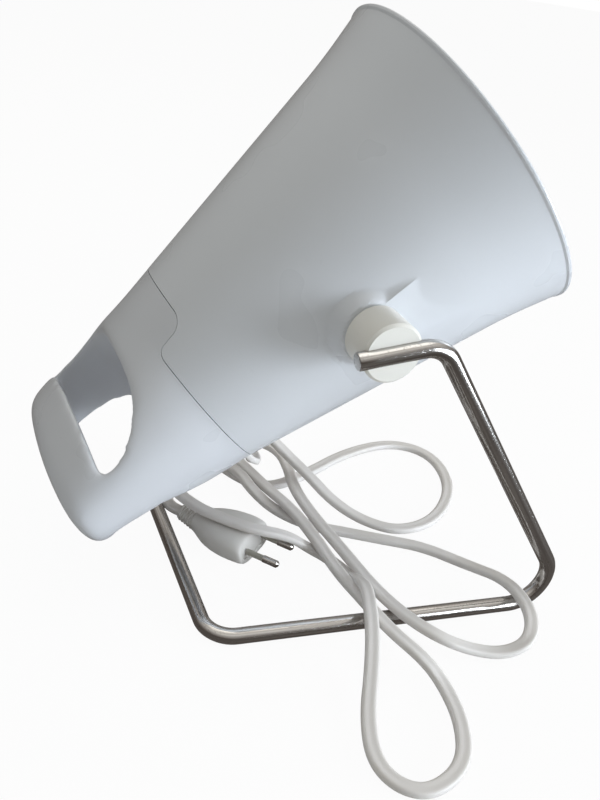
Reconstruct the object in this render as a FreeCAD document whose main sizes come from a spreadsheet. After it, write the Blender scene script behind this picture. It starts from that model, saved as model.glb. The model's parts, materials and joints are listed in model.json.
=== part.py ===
import FreeCAD, Part
import math
import os

import Sketcher
from FreeCAD import Placement, Rotation, Vector

# Infrared heat therapy lamp: a bell-shaped shade with a looped rear handle, hinged
# between two knobs on a bent wire stand, with a mains cord and a flat two-pin plug.
# Millimetres. Origin on the table under the middle of the lamp, +X where the shade
# looks, +Y to the lamp's left, +Z up. The shade's own pieces are drawn in the lamp
# frame: origin on the hinge line, +X along the shade, +Z away from the table.

SIZES = {
    # hinge
    "pivot_forward": 1.5, "pivot_height": 150.5, "head_tilt": 43.6,
    # shade skin
    "mouth_forward": 85.0, "mouth_radius": 79.4, "flare_forward": 60.0, "flare_radius": 73.0,
    "seam_back": 77.5, "seam_radius": 48.9, "shade_wall": 2.5, "lip_wall": 1.8,
    # hinge bosses on the shade
    "boss_sink": 6.5, "boss_rise": 4.5, "boss_root_radius": 26.0, "boss_face_radius": 15.5,
    "ridge_deep": 6.0, "ridge_top": 8.0, "ridge_length": 31.0,
    # rear cover
    "tongue_length": 17.0, "tongue_half": 30.9, "tongue_round": 6.0, "tongue_foot": 4.0,
    "cover_gap": 0.3,
    "waist_back": 117.0, "waist_half": 53.2, "waist_low": 41.0, "waist_high": 40.4, "waist_wide": 8.1,
    "tail_back": 150.0, "tail_half": 53.9, "tail_low": 30.6, "tail_high": 33.9, "tail_wide": 7.2,
    "end_back": 158.8, "end_lean": 11.3, "end_round": 8.0,
    "cavity_back": 88.5, "cavity_wall": 2.7, "cavity_taper": 3.6,
    # handle opening
    "opening_front": 89.7, "opening_arc": 110.0, "opening_half": 49.9,
    "opening_back": 143.4, "opening_lean": 25.2, "opening_round": 32.0,
    # wire stand
    "rod_radius": 4.0, "rod_lean": 11.0, "rod_tail": 16.3,
    "top_reach": 22.5, "top_bend": 15.0, "foot_front": 144.3, "front_bend": 18.0,
    "foot_back": 59.7, "back_bend": 14.0,
    # knobs and hinge hardware
    "knob_radius": 13.3, "knob_length": 20.15, "knob_gap": 0.3, "knob_edge": 1.2,
    "stud_radius": 3.0, "stud_past": 0.9, "turning_fit": 0.08, "thread_fit": 0.03,
    "washer_radius": 9.0, "washer_thick": 1.5, "spring_radius": 7.5, "spring_thick": 1.2,
    "nut_radius": 5.6, "nut_thick": 4.9,
    # heat shield, bracket and lampholder
    "shield_back": 38.0, "shield_thick": 1.0, "plate_gap": 0.4,
    "bracket_gap": 0.4, "bracket_thick": 1.5, "bracket_window": 8.0,
    "column_inset": 6.4, "column_angle": 30.0, "column_radius": 5.0, "column_length": 12.0,
    "holder_radius": 22.0, "holder_length": 35.5, "holder_bore": 14.4, "holder_floor": 5.5,
    "sleeve_radius": 14.3, "sleeve_wall": 0.7, "sleeve_length": 25.0,
    "holder_screw_across": 18.0, "cover_screw_across": 30.0,
    # reflector bulb
    "cap_radius": 13.3, "cap_wall": 0.6, "cap_length": 23.0, "contact_radius": 4.5,
    "contact_thick": 1.2, "neck_length": 5.0, "bulb_face": 68.0, "bulb_radius": 61.0,
    "glass_wall": 1.5,
    # screws
    "screw_radius": 1.6, "screw_head": 3.0, "screw_head_thick": 2.0, "screw_fit": 0.05,
    # wiring and cord entry
    "gland_back": 83.5, "gland_radius": 4.6, "gland_flange": 5.9, "gland_mouth": 53.0,
    "gland_seat": 47.0,
    "gland_inner": 41.5, "cord_radius": 2.5, "cord_fit": 0.05, "cord_inner": 24.0,
    "lead_radius": 1.1, "lead_across": 1.3, "block_half": 11.0, "block_low": 8.0,
    "block_high": 20.0, "clamp_half": 14.0, "clamp_high": 28.0, "clamp_low": 36.0,
    "clamp_deep": 8.0, "clamp_screw_across": 9.5, "terminal_across": 5.0,
    # plug
    "plug_forward": -15.5, "plug_left": -22.5, "plug_turn": -45.57, "plug_half": 7.0,
    "plug_width": 20.3, "plug_face_half": 17.0, "plug_length": 41.0, "plug_neck_half": 7.5,
    "collar_length": 4.0, "collar_radius": 4.6, "pin_across": 9.3, "pin_length": 19.0,
    "pin_radius": 2.0, "pin_core": 1.4, "pin_sleeve_radius": 1.7, "pin_sleeve_length": 10.0,
    "pin_root": 6.0,
}

# The cord's route: it rises off the gland, drops beside the lamp and lies in loose
# loops on the table before it comes back to the plug. Distances are from the table
# right under the hinge line.
STUB_ROUTE = [
    (-43.85, 0.0, 75.47), (-17.70, 0.0, 48.00), (-12.30, 4.5, 42.30), (-8.90, 12.3, 39.50),
    (-8.90, 20.3, 39.50),
]
CORD_ROUTE = [
    (-8.9, 20.6, 39.5), (-8.9, 37.0, 39.5), (-3.0, 54.0, 37.0), (13.0, 58.0, 30.0),
    (27.0, 43.0, 19.0), (34.0, 25.0, 16.0), (43.0, 7.0, 9.5), (58.0, -7.0, 4.0), (78.0, -18.0, 2.7),
    (107.0, -9.0, 2.7), (135.5, 23.0, 2.7), (142.5, 61.0, 2.7), (121.0, 80.0, 2.7),
    (81.0, 70.0, 2.7), (43.0, 47.0, 2.7), (14.0, 34.0, 2.7), (-2.0, 45.0, 2.7), (-15.0, 76.0, 2.7),
    (-37.0, 78.0, 3.4), (-53.0, 62.0, 8.0), (-57.0, 40.0, 15.0), (-46.0, 3.0, 17.2),
    (-32.0, -12.0, 17.2), (-17.0, -24.0, 17.3), (1.5, -27.0, 13.8), (14.5, -28.5, 5.0),
    (23.0, -34.0, 2.7), (29.0, -50.0, 3.2), (27.0, -65.0, 11.4), (24.5, -78.0, 17.2),
    (17.0, -102.0, 15.0), (9.0, -122.0, 7.5), (-3.0, -145.0, 2.7), (-10.5, -168.0, 2.7),
    (-5.0, -182.5, 2.7), (8.0, -187.5, 2.7), (28.5, -177.5, 2.7), (39.5, -156.0, 2.7),
    (42.0, -134.0, 3.5), (36.5, -122.0, 9.0), (27.0, -103.0, 11.2), (23.0, -79.0, 10.9),
    (20.0, -56.0, 9.2), (19.0, -27.0, 9.2), (16.0, 3.0, 8.8), (8.0, 26.0, 8.8), (4.0, 43.0, 8.6),
    (-1.0, 60.0, 8.5), (5.0, 77.0, 8.6), (20.0, 80.0, 8.6), (31.0, 66.0, 8.5), (29.5, 45.0, 8.5),
    (25.0, 25.0, 8.5), (26.0, -4.0, 8.5), (30.5, -36.0, 8.7), (34.0, -70.0, 9.2),
    (39.0, -95.0, 11.6), (49.0, -112.0, 11.6), (66.0, -116.5, 5.0), (84.0, -121.0, 3.2),
    (98.5, -120.0, 8.5), (107.5, -105.0, 13.9), (111.5, -77.0, 11.0), (103.0, -52.5, 2.7),
    (85.0, -33.5, 2.7), (64.0, -24.0, 2.7), (43.0, -14.0, 2.7), (23.0, -5.0, 2.7), (8.0, 11.0, 3.5),
    (-1.0, 25.0, 8.3), (-3.0, 46.0, 8.3), (-9.0, 61.0, 5.5), (-21.0, 67.0, 2.7), (-34.0, 64.0, 2.7),
    (-44.0, 53.0, 2.7), (-49.8, 39.0, 3.0), (-52.5, 27.0, 5.0), (-53.3, 16.07, 7.0),
    (-47.02, 9.65, 7.0),
]

LINE_Y = Vector(0, -1, 0)
doc = FreeCAD.newDocument("HeatLamp")
sheet = doc.addObject("Spreadsheet::Sheet", "Sizes")
for row, (alias, value) in enumerate(SIZES.items(), start=1):
    sheet.set("A%d" % row, alias)
    sheet.set("B%d" % row, str(value))
    sheet.setAlias("B%d" % row, alias)
doc.recompute()

nodes = {}


def bound(text):
    """Point every size named in the text at the sheet."""
    words = []
    for word in text.split():
        words.append("Sizes." + word if word in SIZES else word)
    return " ".join(words)


def plane_of(body, role):
    return [item for item in body.Origin.OriginFeatures if item.Role == role][0]


def new_sketch(body, role, lift="0"):
    sketch = body.newObject("Sketcher::SketchObject", body.Name + "_sketch")
    sketch.AttachmentSupport = [(plane_of(body, role), "")]
    sketch.MapMode = "FlatFace"
    if lift != "0":
        sketch.setExpression("AttachmentOffset.Base.z", bound(lift))
    return sketch


def pin_down(sketch, item, end, across, up):
    """Hold one point of the sketch at its distances from the origin."""
    for kind, text in (("DistanceX", across), ("DistanceY", up)):
        index = sketch.addConstraint(Sketcher.Constraint(kind, -1, 1, item, end, 1.0))
        label = "%s_%d" % (kind, index)
        sketch.renameConstraint(index, label)
        sketch.setExpression("Constraints." + label, bound(text))


def polygon(body, role, points, lift="0"):
    sketch = new_sketch(body, role, lift)
    count = len(points)
    ring = [Vector(9 * math.cos(2 * math.pi * i / count), 9 * math.sin(2 * math.pi * i / count), 0)
            for i in range(count)]
    for i in range(count):
        sketch.addGeometry(Part.LineSegment(ring[i], ring[(i + 1) % count]), False)
    for i in range(count):
        sketch.addConstraint(Sketcher.Constraint("Coincident", i, 2, (i + 1) % count, 1))
    for i, (across, up) in enumerate(points):
        pin_down(sketch, i, 1, across, up)
    return sketch


def circles(body, role, spots, lift="0"):
    """A sketch of circles, each (across, up, radius)."""
    sketch = new_sketch(body, role, lift)
    for i, (across, up, radius) in enumerate(spots):
        sketch.addGeometry(Part.Circle(Vector(7 * i, 3 * i, 0), Vector(0, 0, 1), 1), False)
        pin_down(sketch, i, 3, across, up)
        index = sketch.addConstraint(Sketcher.Constraint("Radius", i, 1.0))
        sketch.renameConstraint(index, "radius_%d" % i)
        sketch.setExpression("Constraints.radius_%d" % i, bound(radius))
    return sketch


def revolve(body, sketch, axis):
    feature = body.newObject("PartDesign::Revolution", body.Name + "_turn")
    feature.Profile = sketch
    feature.ReferenceAxis = (sketch, [axis])
    feature.Angle = 360
    return feature


def pad(body, sketch, length, backwards=False):
    feature = body.newObject("PartDesign::Pad", body.Name + "_pad")
    feature.Profile = sketch
    feature.setExpression("Length", bound(length))
    feature.Reversed = backwards
    return feature


def pocket(body, sketch, length, backwards=False, both=False):
    """Cut a pocket and make sure that it took something away."""
    doc.recompute()
    before = body.Shape.Volume
    feature = body.newObject("PartDesign::Pocket", body.Name + "_pocket")
    feature.Profile = sketch
    feature.setExpression("Length", bound(length))
    feature.Reversed = backwards
    feature.Midplane = both
    doc.recompute()
    if body.Shape.Volume > before - 1e-3:
        raise RuntimeError("pocket cut nothing in " + body.Label)
    return feature


def new_body(name):
    return doc.addObject("PartDesign::Body", name)


def turned(name, axis, points):
    """A body of revolution about its own X, Y or Z axis: points are (along, radius)."""
    body = new_body(name)
    if axis == "X":
        sketch = polygon(body, "XZ_Plane", points)
        revolve(body, sketch, "H_Axis")
    elif axis == "Y":
        sketch = polygon(body, "XY_Plane", [(radius, along) for along, radius in points])
        revolve(body, sketch, "V_Axis")
    else:
        sketch = polygon(body, "XZ_Plane", [(radius, along) for along, radius in points])
        revolve(body, sketch, "V_Axis")
    return body


def box(name, low, high):
    """A block from its low corner to its high corner."""
    block = doc.addObject("Part::Box", name)
    for side, start, end, spot in zip(("Length", "Width", "Height"), low, high, "xyz"):
        block.setExpression(side, bound("( " + end + " ) - ( " + start + " )"))
        block.setExpression("Placement.Base." + spot, bound(start))
    return block


def cylinder(name, axis, radius, start, length, centre=("0", "0")):
    """A round bar along X, Y or Z; centre is its place across the other two axes."""
    bar = doc.addObject("Part::Cylinder", name)
    bar.setExpression("Radius", bound(radius))
    bar.setExpression("Height", bound(length))
    turns = {"X": Rotation(Vector(0, 1, 0), 90), "Y": Rotation(Vector(1, 0, 0), -90), "Z": Rotation()}
    bar.Placement = Placement(Vector(), turns[axis])
    others = [letter for letter in "XYZ" if letter != axis]
    bar.setExpression("Placement.Base." + axis.lower(), bound(start))
    for letter, text in zip(others, centre):
        bar.setExpression("Placement.Base." + letter.lower(), bound(text))
    return bar


def minus(name, base, tools):
    """The base with each tool cut away in turn."""
    for i, tool in enumerate(tools):
        last = i == len(tools) - 1
        cut = doc.addObject("Part::Cut", name if last else "%s_cut%d" % (name, i))
        cut.Base = base
        cut.Tool = tool
        doc.recompute()
        if cut.Shape.Volume > base.Shape.Volume - 1e-3:
            raise RuntimeError("cut took nothing from " + name)
        base = cut
    return base


def joined(name, pieces):
    fuse = doc.addObject("Part::MultiFuse", name)
    fuse.Shapes = pieces
    return fuse


def common(name, first, second):
    both = doc.addObject("Part::Common", name)
    both.Base = first
    both.Tool = second
    return both


def keep(name, item):
    """Name a finished sub-part after its node."""
    item.Label = name
    nodes[name] = item
    return item


def on_head(name, item, along="0", left="0", up="0"):
    """Seat a piece in the lamp frame, which turns about the hinge line."""
    item.Placement = Placement(Vector(), Rotation(LINE_Y, SIZES["head_tilt"]))
    item.setExpression("Placement.Rotation.Angle", bound("head_tilt"))
    cosine, sine = "cos( head_tilt * 1 deg )", "sin( head_tilt * 1 deg )"
    forward = "pivot_forward + ( %s ) * %s - ( %s ) * %s" % (along, cosine, up, sine)
    height = "pivot_height + ( %s ) * %s + ( %s ) * %s" % (along, sine, up, cosine)
    item.setExpression("Placement.Base.x", bound(forward))
    item.setExpression("Placement.Base.y", bound(left))
    item.setExpression("Placement.Base.z", bound(height))
    return keep(name, item)


def on_stand(name, item):
    """Seat a piece whose own origin is on the hinge line and which stays upright."""
    item.setExpression("Placement.Base.x", bound("pivot_forward"))
    item.setExpression("Placement.Base.z", bound("pivot_height"))
    return keep(name, item)


def on_plug(name, item, along="0", left="0"):
    """Seat a piece in the plug's frame: origin on the middle of the pin face, +X to the pins."""
    item.Placement = Placement(Vector(), Rotation(Vector(0, 0, 1), SIZES["plug_turn"]))
    item.setExpression("Placement.Rotation.Angle", bound("plug_turn"))
    cosine, sine = "cos( plug_turn * 1 deg )", "sin( plug_turn * 1 deg )"
    item.setExpression("Placement.Base.x", bound("pivot_forward + plug_forward + ( %s ) * %s - ( %s ) * %s"
                                                 % (along, cosine, left, sine)))
    item.setExpression("Placement.Base.y", bound("plug_left + ( %s ) * %s + ( %s ) * %s"
                                                 % (along, sine, left, cosine)))
    item.setExpression("Placement.Base.z", bound("plug_half"))
    return keep(name, item)


# --------------------------------------------------------------------------- paths
def bend_path(points, radii):
    """Straight runs joined by tangent arcs; a wire and its length."""
    edges, length, start = [], 0.0, points[0]
    for i in range(1, len(points) - 1):
        back = (points[i - 1] - points[i]).normalize()
        ahead = (points[i + 1] - points[i]).normalize()
        half = back.getAngle(ahead) / 2
        radius = radii[i - 1]
        reach = radius / math.tan(half)
        first, last = points[i] + back * reach, points[i] + ahead * reach
        middle_line = (back + ahead).normalize()
        middle = points[i] + middle_line * (radius / math.sin(half) - radius)
        edges.append(Part.LineSegment(start, first).toShape())
        edges.append(Part.Arc(first, middle, last).toShape())
        length += start.distanceToPoint(first) + radius * (math.pi - 2 * half)
        start = last
    edges.append(Part.LineSegment(start, points[-1]).toShape())
    length += start.distanceToPoint(points[-1])
    return Part.Wire(edges), length


def soft_radii(points):
    """Bend radii of a limp cord: 0.45 of the shorter run over the tangent of half the turn."""
    radii = []
    for before, here, after in zip(points[:-2], points[1:-1], points[2:]):
        turn = (here - before).getAngle(after - here)
        shorter = min(before.distanceToPoint(here), here.distanceToPoint(after))
        radii.append(0.45 * shorter / math.tan(turn / 2))
    return radii


def swept_rod(name, points, radii, radius):
    """A round rod along a bent path, with its volume held against section times length."""
    wire, length = bend_path(points, radii)
    heading = (points[1] - points[0]).normalize()
    ring = Part.Wire([Part.makeCircle(radius, points[0], heading)])
    shape = wire.makePipeShell([ring], True, False)
    wanted = math.pi * radius ** 2 * length
    print("%s: length %.1f, volume %.1f of %.1f, smallest bend %.1f"
          % (name, length, shape.Volume, wanted, min(radii)))
    if abs(shape.Volume - wanted) > 0.01 * wanted:
        raise RuntimeError("swept volume of " + name + " is off")
    item = doc.addObject("Part::Feature", name)
    item.Shape = shape
    return item


def size(name):
    return sheet.getPropertyByName(name)


# --------------------------------------------------------------------------- shade
SEAM = "( 0 - seam_back )"
SLOPE = "( flare_radius - seam_radius ) / ( flare_forward + seam_back )"


def skin_radius(along, inset="0"):
    """Radius of the conical skin at a place along the shade."""
    return "seam_radius + ( ( %s ) + seam_back ) * %s - ( %s )" % (along, SLOPE, inset)


BOSS_ROOT = skin_radius("0") + " - boss_sink"
BOSS_FACE = skin_radius("0") + " + boss_rise"
ROD_ACROSS = BOSS_FACE + " + knob_gap + knob_length"
COLUMN_ACROSS = "( seam_radius - column_inset ) * cos( column_angle * 1 deg )"
COLUMN_UP = "( seam_radius - column_inset ) * sin( column_angle * 1 deg )"


def column_spots():
    return [(a + COLUMN_ACROSS, b + COLUMN_UP) for a in ("0 + ", "0 - ") for b in ("0 + ", "0 - ")]


def tongue_plan(name, gap):
    """A block over the top of the seam with the outline of the rear cover's tongue."""
    plan = new_body(name)
    side = []
    for turn in (0, 22.5, 45, 67.5, 90):
        side.append(("tongue_length - seam_back - tongue_round + ( tongue_round + %s ) * cos( %s * 1 deg )"
                     % (gap, turn),
                     "tongue_half - tongue_round + ( tongue_round + %s ) * sin( %s * 1 deg )" % (gap, turn)))
    for turn in (0, 30, 60, 90):
        side.append(("tongue_foot - seam_back - ( tongue_foot - %s ) * sin( %s * 1 deg )" % (gap, turn),
                     "tongue_half + tongue_foot - ( tongue_foot - %s ) * cos( %s * 1 deg )" % (gap, turn)))
    side.append(("0 - seam_back - 1", "tongue_half + tongue_foot"))
    outline = side + [(along, "0 - ( " + left + " )") for along, left in reversed(side)]
    pad(plan, polygon(plan, "XY_Plane", outline), "seam_radius * 2")
    return plan


def make_front_shell():
    rear = "cover_gap - seam_back"
    shell = turned("shell_blank", "X", [
        (rear, skin_radius(rear)), ("flare_forward", "flare_radius"), ("mouth_forward", "mouth_radius"),
        ("mouth_forward", "mouth_radius - lip_wall"), ("flare_forward", "flare_radius - shade_wall"),
        (rear, skin_radius(rear, "shade_wall"))])
    added = []
    boss = polygon(shell, "XY_Plane", [
        ("0", BOSS_ROOT), ("boss_root_radius", BOSS_ROOT), ("boss_face_radius", BOSS_FACE),
        ("0", BOSS_FACE)])
    added.append(revolve(shell, boss, "V_Axis"))
    ridge = polygon(shell, "XZ_Plane", [
        ("0", "ridge_top"), ("ridge_length", "ridge_top"), ("ridge_length * 0.8", "0 - ridge_top * 0.1"),
        ("ridge_length * 0.64", "0 - ridge_top * 0.6"), ("ridge_length * 0.62", "0 - ridge_top * 1.4"),
        ("0", "0 - ridge_top * 1.6")], "0 - ( " + BOSS_FACE + " )")
    added.append(pad(shell, ridge, "ridge_deep"))
    doc.recompute()
    mirror = shell.newObject("PartDesign::Mirrored", "shell_mirror")
    mirror.Originals = added
    mirror.MirrorPlane = (plane_of(shell, "XZ_Plane"), [""])
    shell.Tip = mirror
    doc.recompute()
    spots = column_spots()
    columns = circles(shell, "YZ_Plane", [(a, b, "column_radius") for a, b in spots],
                      "bracket_thick - seam_back + cover_gap")
    pad(shell, columns, "column_length")
    holes = circles(shell, "YZ_Plane", [(a, b, "screw_radius + screw_fit") for a, b in spots],
                    "bracket_thick - seam_back")
    pocket(shell, holes, "column_length - 2", True)
    bore = circles(shell, "XZ_Plane", [("0", "0", "stud_radius + turning_fit")])
    pocket(shell, bore, "mouth_radius * 3", False, True)
    on_head("front_shell", minus("front_shell", shell, [tongue_plan("notch_plan", "cover_gap")]))


# --------------------------------------------------------------------------- rear cover
def cover_section(name, back, half, low, high, wide):
    """One oval of the cover, of two half ellipses that meet where it is widest."""
    left, right = Vector(-back, half, wide), Vector(-back, -half, wide)
    middle = Vector(-back, 0, wide)
    halves = []
    for reach, first in ((high - wide, 0.0), (low + wide, math.pi)):
        if abs(half - reach) < 1e-6:
            tip = middle + Vector(0, 0, reach if first == 0 else -reach)
            ends = (left, tip, right) if first == 0 else (right, tip, left)
            halves.append(Part.Arc(*ends).toShape())
        else:
            oval = Part.Ellipse(left, middle + Vector(0, 0, reach), middle)
            halves.append(Part.ArcOfEllipse(oval, first, first + math.pi).toShape())
    item = doc.addObject("Part::Feature", name)
    item.Shape = Part.Wire(halves)
    return item


def far_edges(shape, reach):
    """Edges that lie wholly behind a place along the shade."""
    return [i for i, edge in enumerate(shape.Edges, start=1) if edge.BoundBox.XMax < reach]


def leaning_block(name, face, lean, depth, half, reach, behind):
    """A wide block with one face across the shade at a distance behind the hinge, leaning
    forwards towards its top; the block lies behind the face or in front of it."""
    block = doc.addObject("Part::Box", name)
    for side, text in (("Length", depth), ("Width", half + " * 2"), ("Height", reach + " * 2")):
        block.setExpression(side, bound(text))
    block.Placement = Placement(Vector(), Rotation(Vector(0, 1, 0), SIZES[lean]))
    block.setExpression("Placement.Rotation.Angle", bound(lean))
    cosine, sine = "cos( %s * 1 deg )" % lean, "sin( %s * 1 deg )" % lean
    forward = "0 - %s - %s * %s" % (face, reach, sine)
    height = "0 - %s * %s" % (reach, cosine)
    if behind:
        forward += " - %s * %s" % (depth, cosine)
        height += " + %s * %s" % (depth, sine)
    block.setExpression("Placement.Base.x", bound(forward))
    block.setExpression("Placement.Base.y", bound("0 - " + half))
    block.setExpression("Placement.Base.z", bound(height))
    return block


def make_cover_blank():
    """The solid outer form, from the seam to the slanted, rounded rear end."""
    seam, waist, tail = size("seam_back"), size("waist_back"), size("tail_back")
    round_radius, waist_half, tail_half = size("seam_radius"), size("waist_half"), size("tail_half")
    waist_low, waist_high = size("waist_low"), size("waist_high")
    tail_low, tail_high = size("tail_low"), size("tail_high")
    waist_wide, tail_wide = size("waist_wide"), size("tail_wide")
    past = (tail + 18 - waist) / (tail - waist)
    loft = doc.addObject("Part::Loft", "cover_loft")
    loft.Sections = [
        cover_section("cover_oval1", seam, round_radius, round_radius, round_radius, 0),
        cover_section("cover_oval2", (seam + waist) / 2, (round_radius + waist_half) / 2 + 0.5,
                      (round_radius + waist_low) / 2, (round_radius + waist_high) / 2, waist_wide / 2),
        cover_section("cover_oval3", waist, waist_half, waist_low, waist_high, waist_wide),
        cover_section("cover_oval4", tail, tail_half, tail_low, tail_high, tail_wide),
        cover_section("cover_oval5", tail + 18, tail_half + 0.3, tail_low - 0.6,
                      waist_high + (tail_high - waist_high) * past, tail_wide)]
    loft.Solid = True
    loft.Ruled = False
    end = leaning_block("cover_end", "end_back", "end_lean", "tail_half", "tail_back", "tail_back", True)
    blank = minus("cover_blank", loft, [end])
    doc.recompute()
    rounded = doc.addObject("Part::Fillet", "cover_round")
    rounded.Base = blank
    radius = size("end_round")
    edges = far_edges(blank.Shape, 0 - size("tail_back"))
    rounded.Edges = [(i, radius, radius) for i in edges]
    doc.recompute()
    return rounded


def make_opening():
    """The D-shaped handle opening, cut right through from top to bottom."""
    arc = cylinder("opening_arc_bar", "Z", "opening_arc", "0 - tail_half * 1.5", "tail_half * 3",
                   ("0 - opening_front - opening_arc", "0"))
    block = leaning_block("opening_block", "opening_back", "opening_lean", "opening_back", "opening_half",
                          "opening_back", False)
    sharp = common("opening_sharp", arc, block)
    doc.recompute()
    corners = []
    for i, edge in enumerate(sharp.Shape.Edges, start=1):
        bounds = edge.BoundBox
        upright = bounds.ZLength > size("tail_half")
        forward = bounds.XMin > 0 - size("opening_back") + 8
        if upright and forward and abs(bounds.Center.y) > size("opening_half") - 1:
            corners.append(i)
    soft = doc.addObject("Part::Fillet", "opening_soft")
    soft.Base = sharp
    soft.Edges = [(i, size("opening_round"), size("opening_round")) for i in corners]
    doc.recompute()
    return soft


def cone(name, start, length, first, last):
    item = doc.addObject("Part::Cone", name)
    item.Placement = Placement(Vector(), Rotation(Vector(0, 1, 0), 90))
    item.setExpression("Placement.Base.x", bound(start))
    item.setExpression("Height", bound(length))
    item.setExpression("Radius1", bound(first))
    item.setExpression("Radius2", bound(last))
    return item


def make_rear_cover():
    blank = make_cover_blank()
    tip = "tongue_length - seam_back"
    outer = cone("tongue_outer", "0 - seam_back", "tongue_length", "seam_radius", skin_radius(tip))
    inner = cone("tongue_inner", "0 - seam_back - 1", "tongue_length + 2",
                 skin_radius("0 - seam_back - 1", "shade_wall"), skin_radius(tip + " + 1", "shade_wall"))
    strip = tongue_plan("tongue_plan", "0")
    tongue = common("tongue", minus("tongue_ring", outer, [inner]), strip)
    whole = joined("cover_whole", [blank, tongue])
    cavity = cone("cover_cavity", "0 - cavity_back", "cavity_back - seam_back",
                  "seam_radius - cavity_wall - cavity_taper", "seam_radius - cavity_wall")
    tools = [make_opening(), cavity]
    tools.append(cylinder("gland_hole", "Z", "gland_radius + screw_fit", "0 - gland_mouth - 5",
                          "25", ("0 - gland_back", "0")))
    tools.append(cylinder("gland_recess", "Z", "gland_flange + screw_fit", "0 - gland_mouth - 5",
                          "gland_mouth - gland_seat + 5", ("0 - gland_back", "0")))
    for i, side in enumerate(("0 +", "0 -")):
        spot = (side + " cover_screw_across", "0")
        tools.append(cylinder("cover_hole%d" % i, "X", "screw_radius + screw_fit", "0 - opening_front - 20",
                              "40", spot))
        tools.append(cylinder("cover_seat%d" % i, "X", "screw_head + screw_fit", "0 - opening_front - 12",
                              "9.3", spot))
    on_head("rear_cover", minus("rear_cover", whole, tools))


# --------------------------------------------------------------------------- lampholder group
BRACKET_BACK = "0 - seam_back + cover_gap"
BRACKET_FRONT = "0 - seam_back + cover_gap + bracket_thick"
HOLDER_FRONT = "0 - seam_back + cover_gap + bracket_thick + holder_length"
HOLDER_FLOOR = "0 - seam_back + cover_gap + bracket_thick + holder_floor"
CAP_BACK = "0 - seam_back + cover_gap + bracket_thick + holder_floor + contact_thick * 2"


def make_bracket():
    plate = new_body("holder_bracket")
    disc = circles(plate, "YZ_Plane", [("0", "0", "seam_radius - shade_wall - bracket_gap")], BRACKET_BACK)
    pad(plate, disc, "bracket_thick")
    holes = [("0", "0", "bracket_window")]
    for a in ("0 +", "0 -"):
        holes.append((a + " holder_screw_across", "0", "screw_radius + screw_fit"))
        holes.append((a + " cover_screw_across", "0", "screw_radius + screw_fit"))
        holes.append((a + " clamp_screw_across", "0 - ( clamp_low + clamp_high ) / 2",
                      "screw_radius + screw_fit"))
    holes += [(across, up, "screw_radius + screw_fit") for across, up in column_spots()]
    drilled = circles(plate, "YZ_Plane", holes, BRACKET_BACK)
    pocket(plate, drilled, "bracket_thick * 2", False, True)
    on_head("holder_bracket", plate)


def screw(name, length, along, left, up, axis="X"):
    """A pan-head screw: the head sits on the negative side of its seat."""
    piece = turned(name, axis, [
        ("0", "0"), ("0 - screw_head_thick", "0"), ("0 - screw_head_thick", "screw_head * 0.7"),
        ("0 - screw_head_thick * 0.5", "screw_head"), ("0", "screw_head"), ("0", "screw_radius"),
        (length, "screw_radius"), (length, "0")][1:])
    return on_head(name, piece, along, left, up)


def make_screws():
    for number, (across, up) in enumerate(column_spots(), start=1):
        screw("bracket_screw_%d" % number, "bracket_thick + column_length - 4", BRACKET_BACK, across, up)
    for number, a in enumerate(("0 +", "0 -"), start=1):
        screw("holder_screw_%d" % number, "bracket_thick + holder_floor + 3",
              BRACKET_BACK, a + " holder_screw_across", "0")
        screw("cover_screw_%d" % number, "opening_front + 2.7 - seam_back + bracket_thick + 2",
              "0 - opening_front - 2.7", a + " cover_screw_across", "0")
        screw("clamp_screw_%d" % number, "clamp_deep + bracket_thick + 0.5",
              BRACKET_BACK + " - clamp_deep", a + " clamp_screw_across", "0 - ( clamp_low + clamp_high ) / 2")


def make_lampholder():
    cup = turned("holder_cup", "X", [
        (BRACKET_FRONT, "0"), (BRACKET_FRONT, "holder_radius"), (HOLDER_FRONT, "holder_radius"),
        (HOLDER_FRONT, "holder_bore"), (HOLDER_FLOOR, "holder_bore"), (HOLDER_FLOOR, "0")])
    drills = [cylinder("holder_drill%d" % i, "X", "screw_radius + screw_fit", BRACKET_FRONT + " - 1",
                       "holder_floor + 5", (side + " holder_screw_across", "0"))
              for i, side in enumerate(("0 +", "0 -"))]
    on_head("lampholder_body", minus("lampholder_body", cup, drills))
    start = CAP_BACK + " + 1"
    sleeve = turned("lampholder_sleeve", "X", [
        (start, "sleeve_radius - sleeve_wall"), (start, "sleeve_radius"),
        (start + " + sleeve_length", "sleeve_radius"),
        (start + " + sleeve_length", "sleeve_radius - sleeve_wall")])
    on_head("lampholder_sleeve", sleeve)
    contact = turned("lampholder_contact", "X", [
        (HOLDER_FLOOR, "0"), (HOLDER_FLOOR, "contact_radius + 1"),
        (HOLDER_FLOOR + " + contact_thick", "contact_radius + 1"), (HOLDER_FLOOR + " + contact_thick", "0")])
    on_head("lampholder_contact", contact)


def make_heat_shield():
    back, front = "0 - shield_back", "shield_thick - shield_back"
    shield = turned("heat_shield", "X", [
        (back, "holder_radius + plate_gap"), (front, "holder_radius + plate_gap"),
        (front, skin_radius(front, "shade_wall + plate_gap")),
        (back, skin_radius(back, "shade_wall + plate_gap"))])
    on_head("heat_shield", shield)


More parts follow.
